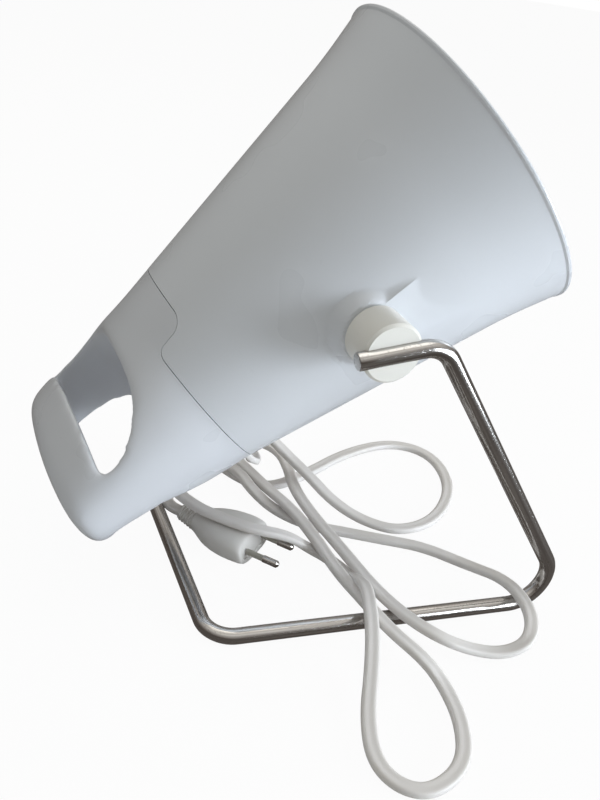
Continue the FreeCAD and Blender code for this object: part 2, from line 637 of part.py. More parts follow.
def make_bulb():
    cap_front = CAP_BACK + " + 2 + cap_length"
    tip = turned("bulb_contact", "X", [
        (CAP_BACK + " - contact_thick", "0"), (CAP_BACK + " - contact_thick", "contact_radius"),
        (CAP_BACK, "contact_radius"), (CAP_BACK, "0")])
    on_head("bulb_contact", tip)
    insulator = turned("bulb_insulator", "X", [
        (CAP_BACK, "0"), (CAP_BACK, "contact_radius"), (CAP_BACK + " + 2", "cap_radius - cap_wall"),
        (CAP_BACK + " + 5", "cap_radius - cap_wall"), (CAP_BACK + " + 5", "0")])
    on_head("bulb_insulator", insulator)
    cap = turned("bulb_cap", "X", [
        (CAP_BACK + " + 2", "cap_radius - cap_wall"), (CAP_BACK + " + 2", "cap_radius"),
        (cap_front, "cap_radius"), (cap_front, "cap_radius - cap_wall")])
    on_head("bulb_cap", cap)
    neck = "cap_radius - cap_wall"
    outline = [
        (cap_front + " - 4", neck), (cap_front, neck), (cap_front + " + 0.3", "cap_radius"),
        (HOLDER_FRONT + " + 0.6", "cap_radius + 0.3"),
        (HOLDER_FRONT + " + neck_length", "cap_radius + neck_length"),
        ("bulb_face * -0.25", "bulb_radius * 0.45"),
        ("bulb_face * 0.05", "bulb_radius * 0.65"), ("bulb_face * 0.45", "bulb_radius * 0.87"),
        ("bulb_face * 0.82", "bulb_radius * 0.99"), ("bulb_face * 0.92", "bulb_radius"),
        ("bulb_face * 0.97", "bulb_radius * 0.9"), ("bulb_face", "bulb_radius * 0.5"), ("bulb_face", "0")]
    inner = [
        ("bulb_face - glass_wall", "0"), ("bulb_face - glass_wall", "bulb_radius * 0.48"),
        ("bulb_face * 0.95 - glass_wall", "bulb_radius * 0.88"),
        ("bulb_face * 0.82", "bulb_radius * 0.99 - glass_wall"),
        ("bulb_face * 0.45", "bulb_radius * 0.87 - glass_wall * 1.1"),
        ("bulb_face * 0.05", "bulb_radius * 0.65 - glass_wall * 1.1"),
        ("bulb_face * -0.25", "bulb_radius * 0.45 - glass_wall * 1.1"),
        (HOLDER_FRONT + " + neck_length", "cap_radius + neck_length - glass_wall * 1.2"),
        (HOLDER_FRONT + " + 0.6", "cap_radius + 0.3 - glass_wall * 1.4"),
        (cap_front + " + 0.5", "cap_radius - glass_wall * 1.6"),
        (cap_front + " - 4", "cap_radius - glass_wall * 1.6")]
    on_head("bulb_glass", turned("bulb_glass", "X", outline + inner))


# --------------------------------------------------------------------------- wiring
def make_wiring():
    block = box("block_blank", ("0 - cavity_back + 0.5", "0 - block_half", "block_low"),
                (BRACKET_BACK, "block_half", "block_high"))
    drills = [cylinder("block_drill%d" % i, "Z", "screw_radius + screw_fit", "block_high - 7", "10",
                       ("0 - gland_back", side + " terminal_across"))
              for i, side in enumerate(("0 +", "0 -"))]
    on_head("terminal_block", minus("terminal_block", block, drills))
    for i, side in enumerate(("0 +", "0 -"), start=1):
        piece = turned("terminal_screw_%d" % i, "Z", [
            ("screw_head * 0.5", "0"), ("screw_head * 0.5", "screw_head * 0.8"), ("0", "screw_head"),
            ("0", "screw_radius"), ("0 - screw_head * 2", "screw_radius"), ("0 - screw_head * 2", "0")])
        on_head("terminal_screw_%d" % i, piece, "0 - gland_back", side + " terminal_across", "block_high")
    for name, side in (("live_lead", "0 +"), ("neutral_lead", "0 -")):
        lead = turned(name, "Z", [("0 - cord_inner", "0"), ("0 - cord_inner", "lead_radius"),
                                  ("block_low", "lead_radius"), ("block_low", "0")])
        on_head(name, lead, "0 - gland_back", side + " lead_across")
    clamp = box("clamp_blank", (BRACKET_BACK + " - clamp_deep", "0 - clamp_half", "0 - clamp_low"),
                (BRACKET_BACK, "clamp_half", "0 - clamp_high"))
    drills = [cylinder("clamp_bore", "Z", "cord_radius + cord_fit", "0 - clamp_low - 1",
                       "clamp_low - clamp_high + 2", ("0 - gland_back", "0"))]
    drills += [cylinder("clamp_drill%d" % i, "X", "screw_radius + screw_fit",
                        BRACKET_BACK + " - clamp_deep - 1", "clamp_deep + 2",
                        (side + " clamp_screw_across", "0 - ( clamp_low + clamp_high ) / 2"))
               for i, side in enumerate(("0 +", "0 -"))]
    on_head("cord_clamp", minus("cord_clamp", clamp, drills))
    bore = "cord_radius + cord_fit"
    gland = turned("cord_bushing", "Z", [
        ("0 - gland_inner", bore), ("0 - gland_inner", "gland_radius"), ("0 - gland_seat", "gland_radius"),
        ("0 - gland_seat", "gland_flange"), ("0 - gland_seat - 2.4", "gland_flange - 0.4"),
        ("0 - gland_mouth", "gland_radius - 0.6"), ("0 - gland_mouth", bore)])
    on_head("cord_bushing", gland, "0 - gland_back")


# --------------------------------------------------------------------------- stand and hinge
def rod_bar(name, side):
    """The straight top piece of one side of the stand, as a cutter through the hinge line."""
    bar = doc.addObject("Part::Cylinder", name)
    bar.setExpression("Radius", bound("rod_radius + screw_fit"))
    bar.setExpression("Height", bound("knob_radius * 6"))
    bar.Placement = Placement(Vector(), Rotation(Vector(0, 1, 0), 79))
    bar.setExpression("Placement.Rotation.Angle", bound("90 - rod_lean"))
    bar.setExpression("Placement.Base.x", bound("0 - knob_radius * 3 * cos( rod_lean * 1 deg )"))
    bar.setExpression("Placement.Base.y", bound(side + " ( " + ROD_ACROSS + " )"))
    bar.setExpression("Placement.Base.z", bound("0 - knob_radius * 3 * sin( rod_lean * 1 deg )"))
    return bar


def make_hinge_side(tag, side):
    def along(text):
        return "%s ( %s )" % (side, text)

    knob_inner = BOSS_FACE + " + knob_gap"
    bore = "stud_radius + turning_fit"
    blank = turned("knob_blank_" + tag, "Y", [
        (along(knob_inner), bore), (along(knob_inner), "knob_radius - knob_edge"),
        (along(knob_inner + " + knob_edge"), "knob_radius"),
        (along(ROD_ACROSS + " - knob_edge"), "knob_radius"),
        (along(ROD_ACROSS), "knob_radius - knob_edge"), (along(ROD_ACROSS), bore)])
    on_stand("knob_" + tag, minus("knob_" + tag, blank, [rod_bar("knob_groove_" + tag, side)]))
    stud_inner = BOSS_ROOT + " - washer_thick - spring_thick - nut_thick - stud_past"
    stud_blank = turned("stud_blank_" + tag, "Y", [
        (along(stud_inner), "0"), (along(stud_inner), "stud_radius"), (along(ROD_ACROSS), "stud_radius"),
        (along(ROD_ACROSS), "0")])
    on_stand("pivot_stud_" + tag, minus("pivot_stud_" + tag, stud_blank, [rod_bar("stud_end_" + tag, side)]))
    edge = BOSS_ROOT
    for name, radius, thick in (("friction_washer_", "washer_radius", "washer_thick"),
                                ("spring_washer_", "spring_radius", "spring_thick")):
        inner = edge + " - " + thick
        ring = turned(name + tag, "Y", [(along(edge), bore), (along(edge), radius), (along(inner), radius),
                                        (along(inner), bore)])
        on_stand(name + tag, ring)
        edge = inner
    nut = new_body("lock_nut_" + tag)
    corners = [("nut_radius * cos( %d * 1 deg )" % turn, "nut_radius * sin( %d * 1 deg )" % turn)
               for turn in range(0, 360, 60)]
    face = polygon(nut, "XZ_Plane", corners, "0 - ( %s )" % along(edge))
    pad(nut, face, "nut_thick", side == "0 -")
    bored = circles(nut, "XZ_Plane", [("0", "0", "stud_radius + thread_fit")])
    pocket(nut, bored, "mouth_radius * 3", False, True)
    on_stand("lock_nut_" + tag, nut)


def rod_spread():
    """Half the distance between the two side frames, which run through the knobs' outer ends."""
    slope = (size("flare_radius") - size("seam_radius")) / (size("flare_forward") + size("seam_back"))
    skin = size("seam_radius") + size("seam_back") * slope
    return skin + size("boss_rise") + size("knob_gap") + size("knob_length")


def make_wire_stand():
    """One bent rod: a side frame with its foot, a crossbar and a plain leg on the other side."""
    lean = math.radians(size("rod_lean"))
    across = rod_spread()
    pivot = Vector(size("pivot_forward"), 0, size("pivot_height"))
    floor = size("rod_radius")
    heading = Vector(math.cos(lean), 0, math.sin(lean))
    rear = Vector(pivot.x - size("foot_back"), 0, floor)
    frame = [pivot - heading * size("rod_tail"), pivot + heading * size("top_reach"),
             Vector(pivot.x + size("foot_front"), 0, floor), rear]
    leg = [rear, pivot - heading * size("top_reach"), pivot + heading * size("rod_tail")]
    near = [Vector(spot.x, -across, spot.z) for spot in frame]
    far = [Vector(spot.x, across, spot.z) for spot in leg]
    bends = [size(name) for name in ("top_bend", "front_bend", "back_bend", "back_bend", "top_bend")]
    rod = swept_rod("wire_stand", near + far, bends, floor)
    keep("wire_stand", rod)


# --------------------------------------------------------------------------- plug and cord
def make_plug():
    blank = new_body("plug_plan")
    side = [("0", "plug_face_half"), ("plug_length * -0.17", "plug_width"),
            ("plug_length * -0.54", "plug_width - 1"), ("plug_length * -0.93", "plug_neck_half + 2"),
            ("0 - plug_length", "plug_neck_half")]
    plan = side + [(across, "0 - ( " + up + " )") for across, up in reversed(side)]
    pad(blank, polygon(blank, "XY_Plane", plan, "0 - plug_half"), "plug_half * 2")
    profile = new_body("plug_profile")
    upper = [("1", "plug_half * 0.6"), ("plug_length * -0.17", "plug_half"),
             ("plug_length * -0.59", "plug_half"),
             ("-1 - plug_length", "plug_half * 0.62")]
    outline = upper + [(across, "0 - plug_half * 0.6") if i == 0 else (across, "0 - plug_half")
                       for i, (across, up) in reversed(list(enumerate(upper)))]
    pad(profile, polygon(profile, "XZ_Plane", outline, "0 - plug_width * 2"), "plug_width * 4")
    form = common("plug_form", blank, profile)
    drills = [cylinder("pin_drill%d" % i, "X", "pin_core + screw_fit", "0 - pin_root", "pin_root + 5",
                       (a + " pin_across", "0")) for i, a in enumerate(("0 +", "0 -"))]
    on_plug("plug_body", minus("plug_body", form, drills))
    collar = turned("plug_collar", "X", [
        ("0", "0"), ("0", "collar_radius"), ("0 - collar_length", "collar_radius - 1.2"),
        ("0 - collar_length", "0")])
    on_plug("plug_collar", collar, "0 - plug_length")
    for i, a in enumerate(("0 +", "0 -"), start=1):
        core = "pin_core"
        pin = turned("plug_pin_%d" % i, "X", [
            ("0 - pin_root", "0"), ("0 - pin_root", core), ("pin_sleeve_length", core),
            ("pin_sleeve_length", "pin_radius"), ("pin_length - 1", "pin_radius"),
            ("pin_length", "pin_radius * 0.5"), ("pin_length", "0")])
        on_plug("plug_pin_%d" % i, pin, "0", a + " pin_across")
        sleeve = turned("plug_sleeve_%d" % i, "X", [
            ("0", core + " + screw_fit"), ("0", "pin_sleeve_radius"),
            ("pin_sleeve_length", "pin_sleeve_radius"), ("pin_sleeve_length", core + " + screw_fit")])
        on_plug("plug_sleeve_%d" % i, sleeve, "0", a + " pin_across")


def make_cord():
    for name, route in (("cord_stub", STUB_ROUTE), ("cord_tube", CORD_ROUTE)):
        points = [Vector(size("pivot_forward") + x, y, z) for x, y, z in route]
        keep(name, swept_rod(name, points, soft_radii(points), size("cord_radius")))


# --------------------------------------------------------------------------- build
make_front_shell()
make_rear_cover()
make_bracket()
make_screws()
make_lampholder()
make_heat_shield()
make_bulb()
make_wiring()
for tag, side in (("near", "0 -"), ("far", "0 +")):
    make_hinge_side(tag, side)
make_wire_stand()
make_plug()
make_cord()
doc.recompute()

for item in doc.Objects:
    if "Invalid" in item.State or "Error" in item.State:
        raise RuntimeError("%s is %s" % (item.Label, item.State))
for name, item in nodes.items():
    if item.Shape.isNull() or not item.Shape.isValid() or len(item.Shape.Solids) != 1:
        raise RuntimeError("bad shape: %s, %d solids" % (name, len(item.Shape.Solids)))

whole = FreeCAD.BoundBox()
for name, item in nodes.items():
    if not name.startswith(("cord_tube", "cord_stub", "plug_")):
        whole.add(item.Shape.BoundBox)
print("bounds without cord and plug:", whole, "nodes:", len(nodes))

os.makedirs("parts", exist_ok=True)
for name, item in nodes.items():
    item.Shape.exportStep("parts/%s.step" % name)
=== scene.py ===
import json
import math

import bmesh
import bpy
from mathutils import Matrix, Vector


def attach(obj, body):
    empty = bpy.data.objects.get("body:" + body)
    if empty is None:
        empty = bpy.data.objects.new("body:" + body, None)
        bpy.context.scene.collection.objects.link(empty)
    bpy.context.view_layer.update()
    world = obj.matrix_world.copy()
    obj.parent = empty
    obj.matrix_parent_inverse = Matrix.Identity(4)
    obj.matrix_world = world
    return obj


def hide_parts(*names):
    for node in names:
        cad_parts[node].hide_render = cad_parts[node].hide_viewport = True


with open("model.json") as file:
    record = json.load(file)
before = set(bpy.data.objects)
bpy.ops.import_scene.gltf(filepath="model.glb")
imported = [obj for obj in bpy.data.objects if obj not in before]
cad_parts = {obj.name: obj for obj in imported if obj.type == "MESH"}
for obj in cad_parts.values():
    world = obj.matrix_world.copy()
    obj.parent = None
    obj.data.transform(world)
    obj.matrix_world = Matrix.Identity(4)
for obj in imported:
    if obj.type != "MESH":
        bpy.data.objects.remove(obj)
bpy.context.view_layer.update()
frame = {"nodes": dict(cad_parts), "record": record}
nodes = frame["nodes"]

# The hinge line, in metres. The lamp frame has its origin there, X along the shade, Z away from
# the table, and is tilted by TILT. All other sizes are in millimetres unless they say otherwise.
HINGE = Vector((0.0015, 0.0, 0.1505))
TILT = math.radians(43.6)
LAMP = Matrix.Translation(HINGE) @ Matrix.Rotation(-TILT, 4, "Y")
MM = 0.001


# ------------------------------------------------------------------ node groups
def add_socket(tree, name, way, kind, value=None):
    socket = tree.interface.new_socket(name, in_out=way, socket_type=kind)
    if value is not None:
        socket.default_value = value


def group_tree(name):
    tree = bpy.data.node_groups.new(name, "ShaderNodeTree")
    return tree, tree.nodes.new("NodeGroupInput"), tree.nodes.new("NodeGroupOutput")


def place(tree, kind, links=(), **values):
    """A node: in_2=x sets its third input, links are (input, source socket), and the rest are
    settings of the node itself."""
    node = tree.nodes.new(kind)
    for key, value in values.items():
        if key.startswith("in_"):
            node.inputs[int(key[3:])].default_value = value
        else:
            setattr(node, key, value)
    for index, source in links:
        tree.links.new(source, node.inputs[index])
    return node


def moulded_surface():
    """Colour clouds, yellowed patches, dust specks and rubbed spots of moulded plastic."""
    tree, start, end = group_tree("moulded surface")
    add_socket(tree, "Color", "INPUT", "NodeSocketColor", (0.8, 0.8, 0.8, 1))
    add_socket(tree, "Aged Color", "INPUT", "NodeSocketColor", (0.7, 0.7, 0.6, 1))
    add_socket(tree, "Aged", "INPUT", "NodeSocketFloat", 0.3)
    add_socket(tree, "Specks", "INPUT", "NodeSocketFloat", 0.3)
    add_socket(tree, "Roughness", "INPUT", "NodeSocketFloat", 0.3)
    add_socket(tree, "Rubbed", "INPUT", "NodeSocketFloat", 0.1)
    add_socket(tree, "Scale", "INPUT", "NodeSocketFloat", 1.0)
    add_socket(tree, "Color", "OUTPUT", "NodeSocketColor")
    add_socket(tree, "Roughness", "OUTPUT", "NodeSocketFloat")
    add_socket(tree, "Height", "OUTPUT", "NodeSocketFloat")
    where = place(tree, "ShaderNodeTexCoord")
    sized = place(tree, "ShaderNodeVectorMath", [(0, where.outputs["Object"])], operation="SCALE")
    tree.links.new(start.outputs["Scale"], sized.inputs["Scale"])
    cloud = place(tree, "ShaderNodeTexNoise", [(0, sized.outputs[0])])
    cloud.inputs["Scale"].default_value = 6
    cloud.inputs["Detail"].default_value = 2
    aged = place(tree, "ShaderNodeMapRange", [(0, cloud.outputs["Fac"])], in_1=0.30, in_2=0.80)
    amount = place(tree, "ShaderNodeMath", [(0, aged.outputs[0]), (1, start.outputs["Aged"])],
                   operation="MULTIPLY")
    tinted = place(tree, "ShaderNodeMix", [(0, amount.outputs[0])], data_type="RGBA")
    tree.links.new(start.outputs["Color"], tinted.inputs[6])
    tree.links.new(start.outputs["Aged Color"], tinted.inputs[7])
    grit = place(tree, "ShaderNodeTexNoise", [(0, sized.outputs[0])])
    grit.inputs["Scale"].default_value = 420
    grit.inputs["Detail"].default_value = 3
    speck = place(tree, "ShaderNodeMapRange", [(0, grit.outputs["Fac"])], in_1=0.70, in_2=0.78)
    dirt = place(tree, "ShaderNodeMath", [(0, speck.outputs[0]), (1, start.outputs["Specks"])],
                 operation="MULTIPLY")
    dusty = place(tree, "ShaderNodeMix", [(0, dirt.outputs[0]), (6, tinted.outputs[2])],
                  data_type="RGBA")
    dusty.inputs[7].default_value = (0.22, 0.20, 0.16, 1)
    tree.links.new(dusty.outputs[2], end.inputs["Color"])
    rub = place(tree, "ShaderNodeTexNoise", [(0, sized.outputs[0])])
    rub.inputs["Scale"].default_value = 24
    rub.inputs["Detail"].default_value = 2
    rubbed = place(tree, "ShaderNodeMapRange", [(0, rub.outputs["Fac"])], in_1=0.25, in_2=0.85)
    worn = place(tree, "ShaderNodeMath", [(0, rubbed.outputs[0]), (1, start.outputs["Rubbed"]),
                                          (2, start.outputs["Roughness"])],
                 operation="MULTIPLY_ADD")
    tree.links.new(worn.outputs[0], end.inputs["Roughness"])
    tree.links.new(grit.outputs["Fac"], end.inputs["Height"])
    return tree


def drawn_metal():
    """Streaks along the metal, darker pits and dark clouds, tarnished tone and painted reflection.
    """
    tree, start, end = group_tree("drawn metal")
    add_socket(tree, "Vector", "INPUT", "NodeSocketVector")
    add_socket(tree, "Color", "INPUT", "NodeSocketColor", (0.6, 0.6, 0.6, 1))
    add_socket(tree, "Tarnished And Reflected Color", "INPUT", "NodeSocketColor", (0.2, 0.17, 0.14, 1))
    add_socket(tree, "Tarnish And Reflection", "INPUT", "NodeSocketFloat", 0.5)
    add_socket(tree, "Pits", "INPUT", "NodeSocketFloat", 0.5)
    add_socket(tree, "Roughness", "INPUT", "NodeSocketFloat", 0.2)
    add_socket(tree, "Color", "OUTPUT", "NodeSocketColor")
    add_socket(tree, "Roughness", "OUTPUT", "NodeSocketFloat")
    add_socket(tree, "Height", "OUTPUT", "NodeSocketFloat")
    streak = place(tree, "ShaderNodeTexNoise", [(0, start.outputs["Vector"])])
    streak.inputs["Scale"].default_value = 1.0
    streak.inputs["Detail"].default_value = 6
    cloudy = place(tree, "ShaderNodeMapRange", [(0, streak.outputs["Fac"])], in_1=0.35, in_2=0.7)
    amount = place(tree, "ShaderNodeMath", [(0, cloudy.outputs[0]), (1, start.outputs["Tarnish And Reflection"])],
                   operation="MULTIPLY")
    # Dark tint: tarnished tone on most metals, painted dark reflection in streaks along the rod.
    tinted = place(tree, "ShaderNodeMix", [(0, amount.outputs[0])], data_type="RGBA")
    tree.links.new(start.outputs["Color"], tinted.inputs[6])
    tree.links.new(start.outputs["Tarnished And Reflected Color"], tinted.inputs[7])
    where = place(tree, "ShaderNodeTexCoord")
    pits = place(tree, "ShaderNodeTexNoise", [(0, where.outputs["Object"])])
    pits.inputs["Scale"].default_value = 900
    pits.inputs["Detail"].default_value = 4
    pitted = place(tree, "ShaderNodeMapRange", [(0, pits.outputs["Fac"])], in_1=0.60, in_2=0.70)
    depth = place(tree, "ShaderNodeMath", [(0, pitted.outputs[0]), (1, start.outputs["Pits"])],
                  operation="MULTIPLY")
    dark = place(tree, "ShaderNodeMix", [(0, depth.outputs[0]), (6, tinted.outputs[2])],
                 data_type="RGBA")
    dark.inputs[7].default_value = (0.10, 0.08, 0.06, 1)
    tree.links.new(dark.outputs[2], end.inputs["Color"])
    rough = place(tree, "ShaderNodeMath",
                  [(0, streak.outputs["Fac"]), (2, start.outputs["Roughness"])],
                  operation="MULTIPLY_ADD", in_1=0.16)
    tree.links.new(rough.outputs[0], end.inputs["Roughness"])
    tree.links.new(pitted.outputs[0], end.inputs["Height"])
    return tree


MOULDED = moulded_surface()
DRAWN = drawn_metal()


# ------------------------------------------------------------------ materials
def blank_material(name):
    material = bpy.data.materials.new(name)
    material.use_nodes = True
    return material, material.node_tree, material.node_tree.nodes["Principled BSDF"]


def put_bump(tree, shader, height, distance, strength=1.0):
    bump = place(tree, "ShaderNodeBump")
    bump.inputs["Strength"].default_value = strength
    bump.inputs["Distance"].default_value = distance
    tree.links.new(height, bump.inputs["Height"])
    tree.links.new(bump.outputs[0], shader.inputs["Normal"])


def moulded(name, color, aged_color, aged=0.4, specks=0.2, rough=0.4, rubbed=0.1, scale=1.0,
            grain=0.00001, coat=0.0):
    """Moulded plastic, glaze or card. The grain is the depth of its bumps, in metres."""
    material, tree, shader = blank_material(name)
    look = place(tree, "ShaderNodeGroup", node_tree=MOULDED)
    for key, value in (("Color", (*color, 1)), ("Aged Color", (*aged_color, 1)),
                       ("Aged", aged), ("Specks", specks), ("Roughness", rough),
                       ("Rubbed", rubbed), ("Scale", scale)):
        look.inputs[key].default_value = value
    tree.links.new(look.outputs["Color"], shader.inputs["Base Color"])
    tree.links.new(look.outputs["Roughness"], shader.inputs["Roughness"])
    shader.inputs["Coat Weight"].default_value = coat
    shader.inputs["Coat Roughness"].default_value = 0.28
    put_bump(tree, shader, look.outputs["Height"], grain)
    return material


def metal(name, color, tarnished_and_reflected_color, stretch, tarnish_and_reflection=0.4, pits=0.2, rough=0.2,
          source="Object"):
    """Bright metal. The source is Object, or UV for a piece with a map along its length."""
    material, tree, shader = blank_material(name)
    where = place(tree, "ShaderNodeTexCoord")
    mapping = place(tree, "ShaderNodeMapping", [(0, where.outputs[source])])
    mapping.inputs["Scale"].default_value = stretch
    look = place(tree, "ShaderNodeGroup", node_tree=DRAWN)
    tree.links.new(mapping.outputs[0], look.inputs["Vector"])
    for key, value in (("Color", (*color, 1)), ("Tarnished And Reflected Color", (*tarnished_and_reflected_color, 1)),
                       ("Tarnish And Reflection", tarnish_and_reflection), ("Pits", pits), ("Roughness", rough)):
        look.inputs[key].default_value = value
    tree.links.new(look.outputs["Color"], shader.inputs["Base Color"])
    tree.links.new(look.outputs["Roughness"], shader.inputs["Roughness"])
    shader.inputs["Metallic"].default_value = 1.0
    put_bump(tree, shader, look.outputs["Height"], 0.00003, 0.6)
    return material


def ruby_glass():
    """Ribbed red front lens that turns to a silvered back behind the widest ring."""
    material, tree, shader = blank_material("ruby glass")
    where = place(tree, "ShaderNodeTexCoord")
    turned = place(tree, "ShaderNodeMapping", [(0, where.outputs["Object"])], vector_type="TEXTURE")
    turned.inputs["Location"].default_value = HINGE
    turned.inputs["Rotation"].default_value = (0, -TILT, 0)
    parts = place(tree, "ShaderNodeSeparateXYZ", [(0, turned.outputs[0])])
    front = place(tree, "ShaderNodeMapRange", [(0, parts.outputs[0])], in_1=0.0520, in_2=0.0535)
    color = place(tree, "ShaderNodeMix", [(0, front.outputs[0])], data_type="RGBA")
    color.inputs[6].default_value = (0.62, 0.61, 0.60, 1)
    color.inputs[7].default_value = (0.30, 0.012, 0.010, 1)
    tree.links.new(color.outputs[2], shader.inputs["Base Color"])
    cells = place(tree, "ShaderNodeTexVoronoi", [(0, turned.outputs[0])])
    cells.inputs["Scale"].default_value = 160
    rough = place(tree, "ShaderNodeMapRange", [(0, cells.outputs["Distance"])],
                  in_3=0.08, in_4=0.22)
    tree.links.new(rough.outputs[0], shader.inputs["Roughness"])
    bumps = place(tree, "ShaderNodeMath", [(0, cells.outputs["Distance"]), (1, front.outputs[0])],
                  operation="MULTIPLY")
    put_bump(tree, shader, bumps.outputs[0], 0.0012)
    shader.inputs["Coat Weight"].default_value = 0.8
    return material


SHELL = {"aged": 0.22, "specks": 0.05, "rough": 0.26, "rubbed": 0.05, "grain": 0.000004,
         "coat": 0.35}
MATERIALS = {
    "shade_white": moulded("shade white", (0.735, 0.755, 0.795), (0.66, 0.67, 0.67), scale=0.8,
                           **SHELL),
    # Same white plastic as the shade, made darker: painted shade on the cover's sides.
    "cover_white": moulded("cover white with painted shade", (0.685, 0.70, 0.74), (0.62, 0.63, 0.63), scale=0.9,
                           **SHELL),
    "knob_cream": moulded("knob cream", (0.84, 0.82, 0.77), (0.78, 0.75, 0.68), specks=0.15,
                          rough=0.30, scale=2.0),
    # The rod's dark streaks along its map are painted reflection of a dark room.
    "rod_chrome": metal("rod chrome", (0.66, 0.645, 0.625), (0.21, 0.185, 0.165), tarnish_and_reflection=0.75,
                        pits=0.30, rough=0.09, stretch=(12, 17, 1), source="UV"),
    "cord_white": moulded("cord white", (0.80, 0.765, 0.745), (0.70, 0.66, 0.61), aged=0.5,
                          specks=0.12, rough=0.46, scale=4.0, grain=0.00002),
    "plug_white": moulded("plug white", (0.74, 0.715, 0.69), (0.64, 0.61, 0.56), specks=0.15,
                          rough=0.36, scale=3.0, grain=0.00002),
    "pin_chrome": metal("pin nickel", (0.56, 0.54, 0.52), (0.22, 0.19, 0.17), pits=0.15,
                        rough=0.12, stretch=(200, 200, 200)),
    "pin_sleeve": moulded("pin sleeve", (0.42, 0.40, 0.35), (0.34, 0.32, 0.27), aged=0.5),
    "gland_white": moulded("gland white", (0.68, 0.68, 0.66), (0.58, 0.56, 0.50), specks=0.3),
    "ceramic": moulded("glazed ceramic", (0.80, 0.78, 0.72), (0.70, 0.66, 0.56), aged=0.5,
                       specks=0.3, rough=0.12, rubbed=0.05, grain=0.00002, coat=0.8),
    "block_plastic": moulded("terminal block", (0.74, 0.72, 0.64), (0.60, 0.56, 0.44), aged=0.5,
                             rough=0.45),
    "clamp_plastic": moulded("clamp", (0.62, 0.62, 0.60), (0.50, 0.50, 0.46), rough=0.5),
    "ruby_glass": ruby_glass(),
    "black_glaze": moulded("black glass", (0.02, 0.02, 0.022), (0.04, 0.035, 0.03), specks=0.1,
                           rough=0.15),
    "brass_parts": metal("brass", (0.72, 0.52, 0.24), (0.34, 0.22, 0.10), tarnish_and_reflection=0.5,
                         stretch=(120, 120, 120)),
    "shield_aluminium": metal("aluminium", (0.72, 0.72, 0.72), (0.45, 0.44, 0.42), pits=0.1,
                              rough=0.25, stretch=(90, 90, 90)),
    "live_lead": moulded("brown lead", (0.13, 0.055, 0.025), (0.10, 0.05, 0.03), specks=0.1),
    "neutral_lead": moulded("blue lead", (0.03, 0.11, 0.36), (0.03, 0.08, 0.25), specks=0.1),
    "fibre_washer": moulded("pressed fibre", (0.30, 0.15, 0.07), (0.22, 0.11, 0.06), aged=0.6,
                            specks=0.5, rough=0.7, scale=4.0, grain=0.0001),
    "zinc_steel": metal("zinc steel", (0.60, 0.61, 0.62), (0.38, 0.37, 0.34), tarnish_and_reflection=0.5,
                        rough=0.28, stretch=(200, 200, 200)),
}

slot_of = {part["node"]: part["material_slot"] for part in frame["record"]["subparts"]}
for name, node in nodes.items():
    node.data.materials.clear()
    node.data.materials.append(MATERIALS[slot_of[name]])


# ------------------------------------------------------------------ mesh helpers
def as_object(name, form):
    """An object from a bmesh, with its faces turned outwards."""
    bmesh.ops.recalc_face_normals(form, faces=form.faces)
    mesh = bpy.data.meshes.new(name)
    form.to_mesh(mesh)
    form.free()
    piece = bpy.data.objects.new(name, mesh)
    bpy.context.scene.collection.objects.link(piece)
    return piece


def spun(line, steps, closed=False):
    """A line of (along, radius) pairs turned about the shade's axis."""
    form = bmesh.new()
    verts = [form.verts.new((along * MM, 0, radius * MM)) for along, radius in line]
    for first, second in zip(verts, verts[1:] + (verts[:1] if closed else [])):
        form.edges.new((first, second))
    bmesh.ops.spin(form, geom=form.verts[:] + form.edges[:], cent=(0, 0, 0), axis=(1, 0, 0),
                   angle=math.tau, steps=steps, use_merge=True)
    bmesh.ops.remove_doubles(form, verts=form.verts, dist=1e-6)
    return form


def mirrored(side):
    """The points of an outline on the other side of the axis, from the last to the first."""
    return [(along, -across) for along, across in reversed(side)]


def prism(outline, low, high):
    """A plan given as (along, across) pairs, raised from one height to another."""
    block = bmesh.new()
    face = block.faces.new([block.verts.new((along * MM, across * MM, low * MM))
                            for along, across in outline])
    lifted = bmesh.ops.extrude_face_region(block, geom=[face])["geom"]
    bmesh.ops.translate(block, verts=[v for v in lifted if isinstance(v, bmesh.types.BMVert)],
                        vec=(0, 0, (high - low) * MM))
    return block


def ring_edges(ring):
    """The edges of a ring of points, each once."""
    return list(dict.fromkeys(edge for vert in ring for edge in vert.link_edges))


def close_rings(form, loops):
    """Joins the rings one after the other and closes both ends."""
    for first, second in zip(loops, loops[1:]):
        bmesh.ops.bridge_loops(form, edges=first + second)
    for loop in (loops[0], loops[-1]):
        bmesh.ops.contextual_create(form, geom=loop)


def apply_change(piece, kind, **settings):
    """Adds a modifier, keeps its result as the mesh and takes the modifier off."""
    change = piece.modifiers.new("change", kind)
    for key, value in settings.items():
        setattr(change, key, value)
    bpy.context.view_layer.update()
    shown = piece.evaluated_get(bpy.context.evaluated_depsgraph_get())
    made = bpy.data.meshes.new_from_object(shown)
    piece.modifiers.clear()
    piece.data = made


def cut(piece, form):
    """Takes a form out of a piece. The form is a bmesh or an object, and is used up."""
    tool = as_object("tool", form) if isinstance(form, bmesh.types.BMesh) else form
    apply_change(piece, "BOOLEAN", operation="DIFFERENCE", solver="EXACT", object=tool)
    bpy.data.objects.remove(tool)


def settle(piece, body, slot, *replaced, smooth=40):
    """The slot's material, smooth shading, the body, and hiding the nodes that the piece stands
    for.
    """
    piece.data.materials.clear()
    piece.data.materials.append(MATERIALS[slot])
    if piece.type == "MESH":
        for face in piece.data.polygons:
            face.use_smooth = True
        piece.data.set_sharp_from_angle(angle=math.radians(smooth))
    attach(piece, body)
    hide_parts(*replaced)
    return piece


# ------------------------------------------------------------------ shade
# Places along the shade, and the radius of its straight part there.
SEAM, FLARE, MOUTH = -77.2, 60.0, 85.0
SEAM_RADIUS, FLARE_RADIUS = 48.953, 73.0
SHADE_WALL = 2.5
